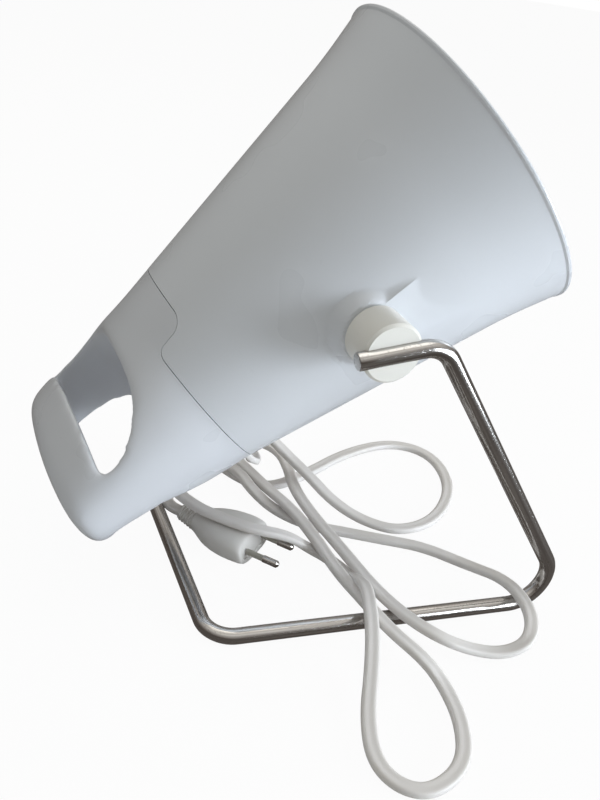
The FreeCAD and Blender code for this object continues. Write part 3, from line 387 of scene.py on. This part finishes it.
# The skin turns outwards over this length, with its middle at FLARE, and at this rate.
TURN_RUN, TURN_RATE = 24.0, 0.00192
# Rings of the outer skin: first place, spacing and number. They lie closer at the hinge.
OUTER_RINGS = ((SEAM, 0.3, 2), (SEAM + 2, 3.2, 15), (-28, 1.3, 56), (46, 3, 12), (81.6, 1.2, 2))
INNER_RINGS = (80, 70, 60, 50, 30, 0, -30, -60, SEAM)
# The rolled lip, as steps ahead of the mouth and outwards from the skin there.
LIP = ((-1.4, 0.25), (-0.6, 0.45), (0, 0.2), (0.2, -0.5), (0, -1.3), (-0.8, -1.8))

# The fairing's flat face, and the radii between which the round seat under the knob falls away.
HINGE_FACE, SEAT_FLAT, SEAT_EDGE = 66.984, 13.6, 18.5
# The crease is the face's upper edge. The face falls away above it over CREASE_FALL on the hinge
# line, over less and less ahead of it, and over CREASE_LEAST from near CREASE_RUN onwards.
CREASE_UP, CREASE_FALL, CREASE_RUN, CREASE_LEAST = 8.0, 6.0, 34.0, 0.9
# A second row of points this far above the crease keeps it crisp.
CREASE_ROW = 0.35
# Where the face fades out below the axis, and where it fades in along the shade.
FADE_LOW, FADE_BEHIND = (10, 26), (-16, 6)
# The fairing reaches no further than this along the shade and from the axis.
FAIRING_BACK, FAIRING_FRONT, FAIRING_HIGH = -30, 46, 45

# The rear cover starts here, and its tongue reaches into a notch in the shade's top. The heights
# take in the top wall and leave the rest alone.
COVER_FRONT = SEAM - 0.3
TONGUE_LENGTH, TONGUE_HALF, TONGUE_ROUND, TONGUE_FOOT, TONGUE_GAP = 17, 30.9, 6, 4, 0.3
NOTCH_HEIGHTS, TONGUE_HEIGHTS = (20, 80), (20, 90)


def ease(low, high, value):
    """0 below low, 1 above high, smooth between."""
    share = min(max((value - low) / (high - low), 0.0), 1.0)
    return share * share * (3 - 2 * share)


def skin(along):
    """Outer radius of the shade, with a soft turn where it starts to flare."""
    straight = SEAM_RADIUS + (along - SEAM) * (FLARE_RADIUS - SEAM_RADIUS) / (FLARE - SEAM)
    past = max(along - FLARE + TURN_RUN / 2, 0.0)
    turned = min(past, TURN_RUN)
    return straight + turned ** 2 * TURN_RATE + (past - turned) * 2 * TURN_RUN * TURN_RATE


def fairing(along, up):
    """How far the flat hinge face reaches here: a round seat and a crease that runs forwards."""
    seat = 1 - ease(SEAT_FLAT, SEAT_EDGE, math.hypot(along, up))
    above = max(CREASE_FALL * (1 - along / CREASE_RUN), CREASE_LEAST)
    fall = min(max((up - CREASE_UP) / above, 0.0), 1.0)
    ridge = (1 - fall) ** 2 if up > 0 else 1 - ease(*FADE_LOW, -up)
    return max(seat, ridge * ease(*FADE_BEHIND, along))


def shade_wall():
    """The shade's wall in the round: outer skin, rolled lip and inner skin."""
    places = [start + gap * i for start, gap, count in OUTER_RINGS for i in range(count)]
    line = [(at, skin(at)) for at in places]
    line += [(MOUTH + ahead, skin(MOUTH) + out) for ahead, out in LIP]
    line += [(at, skin(at) - SHADE_WALL) for at in INNER_RINGS]
    return spun(line, 300, closed=True)


def tongue_outline(gap):
    """Outline of the cover's tongue, grown by the gap, as (along, across)."""
    side = []
    for turn in range(0, 91, 10):
        at = math.radians(turn)
        bend = TONGUE_ROUND + gap
        side.append((COVER_FRONT + TONGUE_LENGTH - TONGUE_ROUND + bend * math.cos(at),
                     TONGUE_HALF - TONGUE_ROUND + bend * math.sin(at)))
    for turn in range(0, 91, 15):
        at = math.radians(turn)
        bend = TONGUE_FOOT - gap
        side.append((COVER_FRONT + TONGUE_FOOT - bend * math.sin(at),
                     TONGUE_HALF + TONGUE_FOOT - bend * math.cos(at)))
    side.append((SEAM - 4, TONGUE_HALF + TONGUE_FOOT))
    return side + mirrored(side)


def make_shade():
    """The bell with its hinge fairings, and a notch for the cover's tongue."""
    shell = shade_wall()
    for height in (CREASE_UP, CREASE_UP + CREASE_ROW):
        bmesh.ops.bisect_plane(shell, geom=shell.verts[:] + shell.edges[:] + shell.faces[:],
                               plane_co=(0, 0, height * MM), plane_no=(0, 0, 1), dist=1e-7)
    for vert in shell.verts:
        along, across, up = vert.co / MM
        radius = math.hypot(across, up)
        inside = radius < skin(along) - SHADE_WALL / 5
        if inside or abs(up) > FAIRING_HIGH or not FAIRING_BACK < along < FAIRING_FRONT:
            continue
        flat = math.sqrt(radius * radius - up * up)
        reach = flat + max(HINGE_FACE - flat, 0.0) * fairing(along, up)
        vert.co.y = math.copysign(reach * MM, across)
    bmesh.ops.remove_doubles(shell, verts=shell.verts, dist=1e-6)
    shade = as_object("shade", shell)
    cut(shade, prism(tongue_outline(TONGUE_GAP), *NOTCH_HEIGHTS))
    shade.data.transform(LAMP)
    settle(shade, "head", "shade_white", "front_shell", smooth=24)


make_shade()


# ------------------------------------------------------------------ rear cover
# Each station: place along the shade, half width, depth below and height above the axis, and
# height of the widest line.
COVER_STATIONS = [
    (-77.5, 48.90, 48.90, 48.90, 0.0),
    (-97.25, 51.55, 44.95, 44.65, 4.05),
    (-117.0, 53.2, 41.0, 40.4, 8.1),
    (-150.0, 53.9, 30.6, 33.9, 7.2),
    (-180.0, 54.4, 29.6, 28.0, 7.2),
]
# Distances back along the shade: where the form starts, and where its rings start to lean.
BLANK_START, LEAN_START = 50.0, 90.0
# The flat rear end: how far back, its lean in degrees, and the radius of its edge.
END_BACK, END_LEAN, END_ROUND = 158.8, 11.3, 8.0
# The handle opening: how far back it starts, its front arc, half width and corners, and how many
# degrees it is turned about the shade's axis. The grip's flat face closes it behind.
OPENING_FRONT, OPENING_ARC, OPENING_HALF, OPENING_ROUND = 94.0, 105.0, 45.3, 32.0
OPENING_ROLL = 10.0
GRIP_FACE, GRIP_LEAN = 143.4, 25.2
# The form that cuts it ends this far back, and this far up and down, clear of the cover.
OPENING_BEHIND, OPENING_TALL = 190, 75
# The block that trims the cover to its seam: its front, half width and heights.
TRIM_FRONT, TRIM_HALF, TRIM_HEIGHTS = -30, 70, (-70, 80)
# The even mesh that is softened: its spacing in metres, and the rounds of softening.
COVER_VOXEL, COVER_SOFTENING = 0.0014, 20
# The hollow behind the seam and inside the tongue, as (along, radius).
CAVITY = ((-88.5, 0), (-88.5, 42.6), (-77.5, 46.4), (-40, 53.0), (-40, 0))


def cover_size(along):
    """The cover's oval at a place along the shade, on a smooth curve through the stations."""
    spots = COVER_STATIONS
    if along >= spots[0][0]:
        return [skin(along), skin(along), skin(along), 0.0]
    last = len(spots) - 1
    at = next((i for i in range(last) if along >= spots[i + 1][0]), last - 1)
    before, after = spots[max(at - 1, 0)], spots[min(at + 2, last)]
    start, end = spots[at], spots[at + 1]
    gap = end[0] - start[0]
    share = (along - start[0]) / gap
    found = []
    for i in range(1, 5):
        leave = (end[i] - before[i]) / (end[0] - before[0]) * gap
        enter = (after[i] - start[i]) / (after[0] - start[0]) * gap
        found.append(start[i] * (2 * share ** 3 - 3 * share ** 2 + 1)
                     + leave * (share ** 3 - 2 * share ** 2 + share)
                     + end[i] * (3 * share ** 2 - 2 * share ** 3)
                     + enter * (share ** 3 - share ** 2))
    return found


def cover_ring(cover, back, lean, inset):
    """One oval ring of the cover, leaning forwards towards its top and drawn in by inset."""
    made = bmesh.ops.create_circle(cover, segments=120, radius=1.0, cap_ends=False)["verts"]
    slope = math.tan(math.radians(lean))
    for vert in made:
        wide, up = vert.co.x, vert.co.y
        along = -back
        for _ in range(4):
            half, low, high, widest = cover_size(along)
            height = widest + up * ((high - widest) if up > 0 else (low + widest))
            along = -back + height * slope
        drawn = 1 - inset / math.hypot(wide * half, height - widest)
        height = widest + (height - widest) * drawn
        vert.co = ((-back + height * slope) * MM, wide * half * drawn * MM, height * MM)
    return ring_edges(made)


def cover_blank():
    """The closed outer form, drawn on past the seam."""
    cover = bmesh.new()
    rings = [(BLANK_START + (LEAN_START - BLANK_START) * i / 10, 0.0, 0.0) for i in range(11)]
    steps = 15
    for i in range(1, steps + 1):
        share = i / steps
        rings.append((LEAN_START + (END_BACK - END_ROUND - LEAN_START) * share,
                      END_LEAN * ease(0, 1, share), 0.0))
    for turn in range(15, 91, 15):
        at = math.radians(turn)
        rings.append((END_BACK - END_ROUND * (1 - math.sin(at)), END_LEAN,
                      END_ROUND * (1 - math.cos(at))))
    close_rings(cover, [cover_ring(cover, *ring) for ring in rings])
    return cover


def opening_form():
    """The D-shaped handle opening, with its flat rear face leaning forwards towards its top."""
    middle = -OPENING_FRONT - OPENING_ARC
    corner = OPENING_HALF - OPENING_ROUND
    centre = middle + math.sqrt((OPENING_ARC - OPENING_ROUND) ** 2 - corner ** 2)
    first = math.atan2(corner, centre - middle)
    side = [(middle + OPENING_ARC * math.cos(first * i / 8),
             OPENING_ARC * math.sin(first * i / 8)) for i in range(8)]
    for i in range(15):
        turn = first + (math.pi / 2 - first) * i / 14
        side.append((centre + OPENING_ROUND * math.cos(turn),
                     corner + OPENING_ROUND * math.sin(turn)))
    side.append((-OPENING_BEHIND, OPENING_HALF))
    form = prism(side + mirrored(side[1:]), -OPENING_TALL, OPENING_TALL)
    lean = math.radians(GRIP_LEAN)
    bmesh.ops.bisect_plane(form, geom=form.verts[:] + form.edges[:] + form.faces[:],
                           dist=1e-7, clear_outer=True, plane_co=(-GRIP_FACE * MM, 0, 0),
                           plane_no=(-math.cos(lean), 0, math.sin(lean)))
    bmesh.ops.holes_fill(form, edges=[edge for edge in form.edges if edge.is_boundary])
    bmesh.ops.rotate(form, verts=form.verts, cent=(0, 0, 0),
                     matrix=Matrix.Rotation(math.radians(OPENING_ROLL), 3, "X"))
    return form


def soften(mesh):
    """Rounds every edge by moving the points towards their neighbours."""
    form = bmesh.new()
    form.from_mesh(mesh)
    for _ in range(COVER_SOFTENING):
        bmesh.ops.smooth_vert(form, verts=form.verts, factor=0.5,
                              use_axis_x=True, use_axis_y=True, use_axis_z=True)
    form.to_mesh(mesh)
    form.free()


def split_wide_faces(mesh):
    """Splits the faces of many corners that cutting leaves, so that none folds onto itself."""
    form = bmesh.new()
    form.from_mesh(mesh)
    bmesh.ops.triangulate(form, faces=[face for face in form.faces if len(face.verts) > 4])
    form.to_mesh(mesh)
    form.free()


def make_cover():
    """The rear end with its handle opening, softened, then trimmed to its seam and tongue."""
    cover = as_object("cover", cover_blank())
    cut(cover, opening_form())
    apply_change(cover, "REMESH", mode="VOXEL", voxel_size=COVER_VOXEL)
    soften(cover.data)
    block = [(COVER_FRONT, -TRIM_HALF), (TRIM_FRONT, -TRIM_HALF), (TRIM_FRONT, TRIM_HALF),
             (COVER_FRONT, TRIM_HALF)]
    trim = as_object("trim", prism(block, *TRIM_HEIGHTS))
    cut(trim, prism(tongue_outline(0.0), *TONGUE_HEIGHTS))
    cut(cover, trim)
    cut(cover, spun(CAVITY, 120))
    split_wide_faces(cover.data)
    cover.data.transform(LAMP)
    settle(cover, "head", "cover_white", "rear_cover")


make_cover()


# ------------------------------------------------------------------ stand
# The rod's radius, the sides of a ring and the spacing of rings on straight runs.
ROD_RADIUS, ROD_SIDES, ROD_STEP = 4.0, 28, 6
# From the middle plane to the rod's centre line on either side.
ROD_ACROSS = 87.434
# The top runs: their lean in degrees, and how far each goes past the hinge line at its free end
# and at its bend.
TOP_LEAN, TOP_PAST, TOP_BEND = 11.0, 16.3, 22.5
# Corners on the table, ahead of the hinge line and behind it.
FOOT_AHEAD, FOOT_BEHIND = 144.3, 59.7
BEND_RADII = (15, 18, 14, 14, 15)
# The soft edge of the rod's ends, as steps from the end and off the radius.
ROD_EDGE = ((0.0, 0.9), (0.25, 0.3), (0.9, 0.0))


def bent_line(corners, bends):
    """Corners joined by straight runs and true arcs, as points along the line."""
    line = [corners[0]]
    for before, corner, after, bend in zip(corners, corners[1:], corners[2:], bends):
        back, on = (before - corner).normalized(), (after - corner).normalized()
        half = back.angle(on) / 2
        centre = corner + (back + on).normalized() * (bend / math.sin(half))
        first = corner + back * (bend / math.tan(half)) - centre
        last = corner + on * (bend / math.tan(half)) - centre
        span = math.pi - 2 * half
        steps = max(int(span / 0.10), 3)
        for step in range(steps + 1):
            share = step / steps
            line.append(centre + (first * math.sin((1 - share) * span)
                                  + last * math.sin(share * span)) / math.sin(span))
    return line + [corners[-1]]


def stand_corners():
    """Corners of the rod's centre line: the near side frame with its foot, then the far leg."""
    lean = math.radians(TOP_LEAN)
    pivot = HINGE / MM
    heading = Vector((math.cos(lean), 0, math.sin(lean)))
    across = Vector((0, ROD_ACROSS, 0))
    toe = Vector((pivot.x + FOOT_AHEAD, 0, ROD_RADIUS))
    rear = Vector((pivot.x - FOOT_BEHIND, 0, ROD_RADIUS))
    frame_side = [pivot - heading * TOP_PAST, pivot + heading * TOP_BEND, toe, rear]
    leg_side = [rear, pivot - heading * TOP_BEND, pivot + heading * TOP_PAST]
    return [at - across for at in frame_side] + [at + across for at in leg_side]


def rod_rings():
    """Centre, heading, distance along the rod and radius of each ring."""
    line = bent_line(stand_corners(), BEND_RADII)
    dense = [line[0]]
    for end in line[1:]:
        start, pieces = dense[-1], max(int((end - dense[-1]).length / ROD_STEP), 1)
        dense += [start.lerp(end, (step + 1) / pieces) for step in range(pieces)]
    padded = [2 * dense[0] - dense[1]] + dense + [2 * dense[-1] - dense[-2]]
    ways = [(after - before).normalized() for before, after in zip(padded, padded[2:])]
    rings = [(dense[0] + ways[0] * step, ways[0], step, ROD_RADIUS - off) for step, off in ROD_EDGE]
    length = 0.0
    for before, at, way in zip(dense, dense[1:-1], ways[1:-1]):
        length += (at - before).length
        rings.append((at, way, length, ROD_RADIUS))
    length += (dense[-1] - dense[-2]).length
    return rings + [(dense[-1] - ways[-1] * step, ways[-1], length - step, ROD_RADIUS - off)
                    for step, off in reversed(ROD_EDGE)]


def make_rod():
    """Round rod swept along the stand's line, with soft ends and a UV map that runs along it."""
    rod = bmesh.new()
    side = Vector((0, 1, 0))
    loops, travel = [], {}
    for at, way, along, radius in rod_rings():
        side = (side - way * side.dot(way)).normalized()
        turned = Matrix((way.cross(side), side, way)).transposed().to_4x4()
        made = bmesh.ops.create_circle(rod, segments=ROD_SIDES, radius=radius * MM,
                                       cap_ends=False,
                                       matrix=Matrix.Translation(at * MM) @ turned)["verts"]
        for index, vert in enumerate(made):
            travel[vert] = (along * MM, index / ROD_SIDES)
        loops.append(ring_edges(made))
    close_rings(rod, loops)
    uv = rod.loops.layers.uv.new("along")
    for face in rod.faces:
        turns = [travel[corner.vert][1] for corner in face.loops]
        for corner in face.loops:
            along, turn = travel[corner.vert]
            if max(turns) - min(turns) > 0.5 and turn < 0.5:
                turn += 1
            corner[uv].uv = (along, turn)
    settle(as_object("stand_rod", rod), "stand", "rod_chrome", "wire_stand")


make_rod()


# ------------------------------------------------------------------ plug
# The middle of the plug's face on the table, and the way that it points.
PLUG_SPOT = (HINGE.x - 15.5 * MM, -22.5 * MM, 7 * MM)
PLUG = Matrix.Translation(PLUG_SPOT) @ Matrix.Rotation(math.radians(-45.57), 4, "Z")
# Along the plug, half width and half height. The face is at 0 and the cord comes in at the tail.
PLUG_BODY = [
    (0.0, 15.9, 5.0), (-0.3, 16.6, 5.7), (-0.9, 17.2, 6.2), (-2.4, 17.7, 6.5), (-4.6, 17.9, 6.8),
    (-7.5, 18.1, 6.95), (-11.0, 18.0, 7.0), (-15.0, 17.5, 7.0), (-19.0, 16.5, 7.0),
    (-23.0, 15.0, 6.9), (-26.5, 13.2, 6.7), (-29.5, 11.3, 6.4), (-32.0, 9.8, 6.1),
    (-34.0, 8.7, 5.8),
]
GRIP_RIBS = [(-35.2 - 2.1 * i, 8.3 - 0.62 * i, 5.6 - 0.28 * i) for i in range(5)]
PLUG_TAIL = [(-45.2, 4.9, 4.1), (-46.4, 4.6, 3.9), (-46.8, 4.0, 3.3)]
# A rib and the groove behind it, as steps from the rib's crest.
RIB_STEPS = ((0, 0, 0), (-0.35, -0.7, -0.55), (-1.1, -0.8, -0.6), (-1.5, -0.2, -0.05))
# How far the face leans back for each millimetre of height.
FACE_LEAN = 0.42
# The recess in the face, in metres: the rim around it, the width of its step, and its depth.
FACE_RIM, FACE_STEP, FACE_DEPTH = 0.0014, 0.0004, 0.0005


def plug_ring(body, along, half, high):
    """One oval across the plug, with squarer corners where the plug is wide."""
    made = bmesh.ops.create_circle(body, segments=48, radius=1.0, cap_ends=False)["verts"]
    fat = 2 / (2.0 + 1.2 * ease(6, 14, half))
    lean = FACE_LEAN * ease(-10, -1, along)
    for vert in made:
        across, up = vert.co.x, vert.co.y
        height = math.copysign(abs(up) ** fat, up) * high
        vert.co = ((along - lean * height) * MM,
                   math.copysign(abs(across) ** fat, across) * half * MM, height * MM)
    return ring_edges(made)


def make_plug():
    """The plug's moulding: body, ribbed neck and a face with a shallow recess."""
    ribs = [tuple(size + step for size, step in zip(rib, steps))
            for rib in GRIP_RIBS for steps in RIB_STEPS]
    body = bmesh.new()
    close_rings(body, [plug_ring(body, *station) for station in PLUG_BODY + ribs + PLUG_TAIL])
    front = [face for face in body.faces
             if len(face.verts) > 8 and face.calc_center_median().x > -MM]
    bmesh.ops.inset_region(body, faces=front, thickness=FACE_RIM, depth=0.0)
    bmesh.ops.inset_region(body, faces=front, thickness=FACE_STEP, depth=-FACE_DEPTH)
    bmesh.ops.transform(body, matrix=PLUG, verts=body.verts)
    settle(as_object("plug_moulding", body), "stand", "plug_white", "plug_body", "plug_collar")


make_plug()


# ------------------------------------------------------------------ cords
# The flat cord's width and thickness, in metres.
CORD_WIDTH, CORD_THICK = 0.0068, 0.0037
# Its outline, two round cores side by side in one sheath, in half widths and half thicknesses.
CORD_OUTLINE = ((0, 0.90), (0.5, 1.06), (0.96, 0.98), (1.08, 0), (0.96, -0.98), (0.5, -1.06),
                (0, -0.90), (-0.5, -1.06), (-0.96, -0.98), (-1.08, 0), (-0.96, 0.98), (-0.5, 1.06))
# The routes, in millimetres, from the point on the table under the middle of the hinge line.
LEAD_ROUTE = [
    (-43.85, 0.0, 75.47), (-17.70, 0.0, 48.00), (-12.30, 4.5, 42.30), (-8.90, 12.3, 39.50),
    (-8.90, 20.3, 39.50),
]
CORD_ROUTE = [
    (-8.9, 20.6, 39.5), (-8.9, 37.0, 39.5), (-3.0, 54.0, 37.0), (13.0, 58.0, 30.0),
    (27.0, 43.0, 19.0), (34.0, 25.0, 16.0), (43.0, 7.0, 9.5), (58.0, -7.0, 4.0), (78.0, -18.0, 2.7),
    (107.0, -9.0, 2.7), (135.5, 23.0, 2.7), (142.5, 61.0, 2.7), (121.0, 80.0, 2.7),
    (81.0, 70.0, 2.7), (43.0, 47.0, 2.7), (14.0, 34.0, 2.7), (-2.0, 45.0, 2.7), (-15.0, 76.0, 2.7),
    (-37.0, 78.0, 3.4), (-53.0, 62.0, 8.0), (-57.0, 40.0, 15.0), (-46.0, 3.0, 17.2),
    (-32.0, -12.0, 17.2), (-17.0, -24.0, 17.3), (1.5, -27.0, 13.8), (14.5, -28.5, 5.0),
    (23.0, -34.0, 2.7), (29.0, -50.0, 3.2), (27.0, -65.0, 11.4), (24.5, -78.0, 17.2),
    (17.0, -102.0, 15.0), (9.0, -122.0, 7.5), (-3.0, -145.0, 2.7), (-10.5, -168.0, 2.7),
    (-5.0, -182.5, 2.7), (8.0, -187.5, 2.7), (28.5, -177.5, 2.7), (39.5, -156.0, 2.7),
    (42.0, -134.0, 3.5), (36.5, -122.0, 9.0), (27.0, -103.0, 11.2), (23.0, -79.0, 10.9),
    (20.0, -56.0, 9.2), (19.0, -27.0, 9.2), (16.0, 3.0, 8.8), (8.0, 26.0, 8.8), (4.0, 43.0, 8.6),
    (-1.0, 60.0, 8.5), (5.0, 77.0, 8.6), (20.0, 80.0, 8.6), (31.0, 66.0, 8.5), (29.5, 45.0, 8.5),
    (25.0, 25.0, 8.5), (26.0, -4.0, 8.5), (30.5, -36.0, 8.7), (34.0, -70.0, 9.2),
    (39.0, -95.0, 11.6), (49.0, -112.0, 11.6), (66.0, -116.5, 5.0), (84.0, -121.0, 3.2),
    (98.5, -120.0, 8.5), (107.5, -105.0, 13.9), (111.5, -77.0, 11.0), (103.0, -52.5, 2.7),
    (85.0, -33.5, 2.7), (64.0, -24.0, 2.7), (43.0, -14.0, 2.7), (23.0, -5.0, 2.7), (8.0, 11.0, 3.5),
    (-1.0, 25.0, 8.3), (-3.0, 46.0, 8.3), (-9.0, 61.0, 5.5), (-21.0, 67.0, 2.7), (-34.0, 64.0, 2.7),
    (-44.0, 53.0, 2.7), (-49.8, 39.0, 3.0), (-52.5, 27.0, 5.0), (-53.3, 16.07, 7.0),
    (-47.02, 9.65, 7.0),
]


def cord_section():
    """The closed outline that both cords are swept from."""
    line = bpy.data.curves.new("cord section", "CURVE")
    line.dimensions = "2D"
    spline = line.splines.new("NURBS")
    spline.points.add(len(CORD_OUTLINE) - 1)
    for point, (across, up) in zip(spline.points, CORD_OUTLINE):
        point.co = (across * CORD_WIDTH / 2, up * CORD_THICK / 2, 0, 1)
    spline.order_u = 4
    spline.use_cyclic_u = True
    spline.resolution_u = 3
    section = bpy.data.objects.new("cord section", line)
    bpy.context.scene.collection.objects.link(section)
    section.hide_render = True
    return section


SECTION = cord_section()


def cord_piece(name, route, body, node):
    """A cord along its route, lying flat."""
    line = bpy.data.curves.new(name, "CURVE")
    line.dimensions = "3D"
    line.twist_mode = "Z_UP"
    spline = line.splines.new("NURBS")
    spline.points.add(len(route) - 1)
    for point, (x, y, z) in zip(spline.points, route):
        point.co = (HINGE.x + x * MM, y * MM, z * MM, 1)
    spline.order_u = 3
    spline.use_endpoint_u = True
    line.resolution_u = 8
    line.bevel_mode = "OBJECT"
    line.bevel_object = SECTION
    line.use_fill_caps = True
    piece = bpy.data.objects.new(name, line)
    bpy.context.scene.collection.objects.link(piece)
    return settle(piece, body, "cord_white", node)


lead = cord_piece("mains_lead", LEAD_ROUTE, "head", "cord_stub")
flex = cord_piece("mains_cord", CORD_ROUTE, "stand", "cord_tube")


# ------------------------------------------------------------------ stage, light and camera
def stage_material(name, color, glow):
    """A pale surface that the camera and glass see nearly white, that gloss sees dark, and that
    keeps its shadows."""
    material, tree, shader = blank_material(name)
    shader.inputs["Base Color"].default_value = (*color, 1)
    shader.inputs["Roughness"].default_value = 0.9
    path = place(tree, "ShaderNodeLightPath")
    seen = place(tree, "ShaderNodeMath", [(0, path.outputs["Is Camera Ray"]),
                                          (1, path.outputs["Is Glossy Ray"])],
                 operation="MAXIMUM")
    seen = place(tree, "ShaderNodeMath", [(0, seen.outputs[0]),
                                          (1, path.outputs["Is Transmission Ray"])],
                 operation="MAXIMUM")
    share = place(tree, "ShaderNodeMath", [(0, seen.outputs[0])], operation="MULTIPLY", in_1=glow)
    mirrored = place(tree, "ShaderNodeMix", [(0, path.outputs["Is Glossy Ray"])], data_type="RGBA")
    mirrored.inputs[6].default_value = (1, 1, 1, 1)
    mirrored.inputs[7].default_value = (0.12, 0.105, 0.095, 1)
    light = place(tree, "ShaderNodeEmission", [(0, mirrored.outputs[2])], in_1=1.0)
    mixed = place(tree, "ShaderNodeMixShader", [(0, share.outputs[0]), (1, shader.outputs[0]),
                                                (2, light.outputs[0])])
    tree.links.new(mixed.outputs[0], tree.nodes["Material Output"].inputs[0])
    return material


def make_stage():
    """A wide flat floor under the lamp."""
    sheet = bmesh.new()
    bmesh.ops.create_grid(sheet, x_segments=1, y_segments=1, size=9.0)
    mesh = bpy.data.meshes.new("floor")
    sheet.to_mesh(mesh)
    sheet.free()
    mesh.materials.append(stage_material("pale floor", (0.80, 0.80, 0.80), 0.95))
    floor = bpy.data.objects.new("floor", mesh)
    bpy.context.scene.collection.objects.link(floor)


def make_world():
    """Even white for the camera, soft daylight, and a room that darkens downwards for gloss."""
    world = bpy.data.worlds.new("studio")
    bpy.context.scene.world = world
    world.use_nodes = True
    tree = world.node_tree
    sky = tree.nodes["Background"]
    sky.inputs[0].default_value = (0.99, 1.0, 0.95, 1)
    sky.inputs[1].default_value = 0.32
    white = place(tree, "ShaderNodeBackground", in_1=1.0)
    white.inputs[0].default_value = (1, 1, 1, 1)
    path = place(tree, "ShaderNodeLightPath")
    seen = place(tree, "ShaderNodeMath", [(0, path.outputs["Is Camera Ray"]),
                                          (1, path.outputs["Is Transmission Ray"])],
                 operation="MAXIMUM")
    where = place(tree, "ShaderNodeTexCoord")
    parts = place(tree, "ShaderNodeSeparateXYZ", [(0, where.outputs["Generated"])])
    height = place(tree, "ShaderNodeValToRGB", [(0, parts.outputs[2])])
    ramp = height.color_ramp.elements
    ramp[0].position, ramp[0].color = 0.05, (0.11, 0.09, 0.075, 1)
    ramp[1].position, ramp[1].color = 0.85, (0.92, 0.90, 0.86, 1)
    middle = ramp.new(0.40)
    middle.color = (0.36, 0.34, 0.325, 1)
    room = place(tree, "ShaderNodeBackground", [(0, height.outputs[0])], in_1=1.0)
    lit = place(tree, "ShaderNodeMixShader", [(0, path.outputs["Is Glossy Ray"]),
                                              (1, sky.outputs[0]), (2, room.outputs[0])])
    mixed = place(tree, "ShaderNodeMixShader", [(0, seen.outputs[0]), (1, lit.outputs[0]),
                                                (2, white.outputs[0])])
    tree.links.new(mixed.outputs[0], tree.nodes["World Output"].inputs[0])


def soft_lamp(name, spot, aim, size, power, color):
    """A rectangular lamp that faces its aim. Size in metres and power in watts."""
    data = bpy.data.lights.new(name, "AREA")
    data.shape = "RECTANGLE"
    data.size, data.size_y = size
    data.energy = power
    data.color = color
    lamp = bpy.data.objects.new(name, data)
    lamp.location = spot
    lamp.rotation_mode = "QUATERNION"
    lamp.rotation_quaternion = (Vector(aim) - Vector(spot)).to_track_quat("-Z", "Y")
    bpy.context.scene.collection.objects.link(lamp)


def make_camera():
    """Stands to the near rear side, a little above the lamp."""
    data = bpy.data.cameras.new("camera")
    data.sensor_width = 36.0
    data.lens = 39.44
    data.shift_x, data.shift_y = 0.0577, 0.0955
    data.clip_start, data.clip_end = 0.01, 20
    right = Vector((0.93802120, -0.31348158, 0.14780236))
    down = Vector((-0.05147035, -0.54773584, -0.83506662))
    ahead = Vector((0.34273465, 0.77570275, -0.52992283))
    turn = Matrix((right, -down, -ahead)).transposed()
    spot = Vector((-0.176725, -0.370782, 0.288552)) + Vector((HINGE.x, 0, 0))
    camera = bpy.data.objects.new("camera", data)
    camera.matrix_world = Matrix.Translation(spot) @ turn.to_4x4()
    bpy.context.scene.collection.objects.link(camera)
    bpy.context.scene.camera = camera


make_stage()
make_world()
soft_lamp("window", spot=(1.1, -0.85, 0.22), aim=(0, 0, 0.13), size=(1.0, 0.7), power=25.5,
          color=(0.84, 0.92, 1.0))
soft_lamp("overhead", spot=(0.1, 0.3, 1.5), aim=(0, 0, 0.1), size=(1.6, 1.6), power=7.5,
          color=(1.0, 1.0, 0.96))
make_camera()
bpy.context.scene.view_settings.view_transform = "Standard"
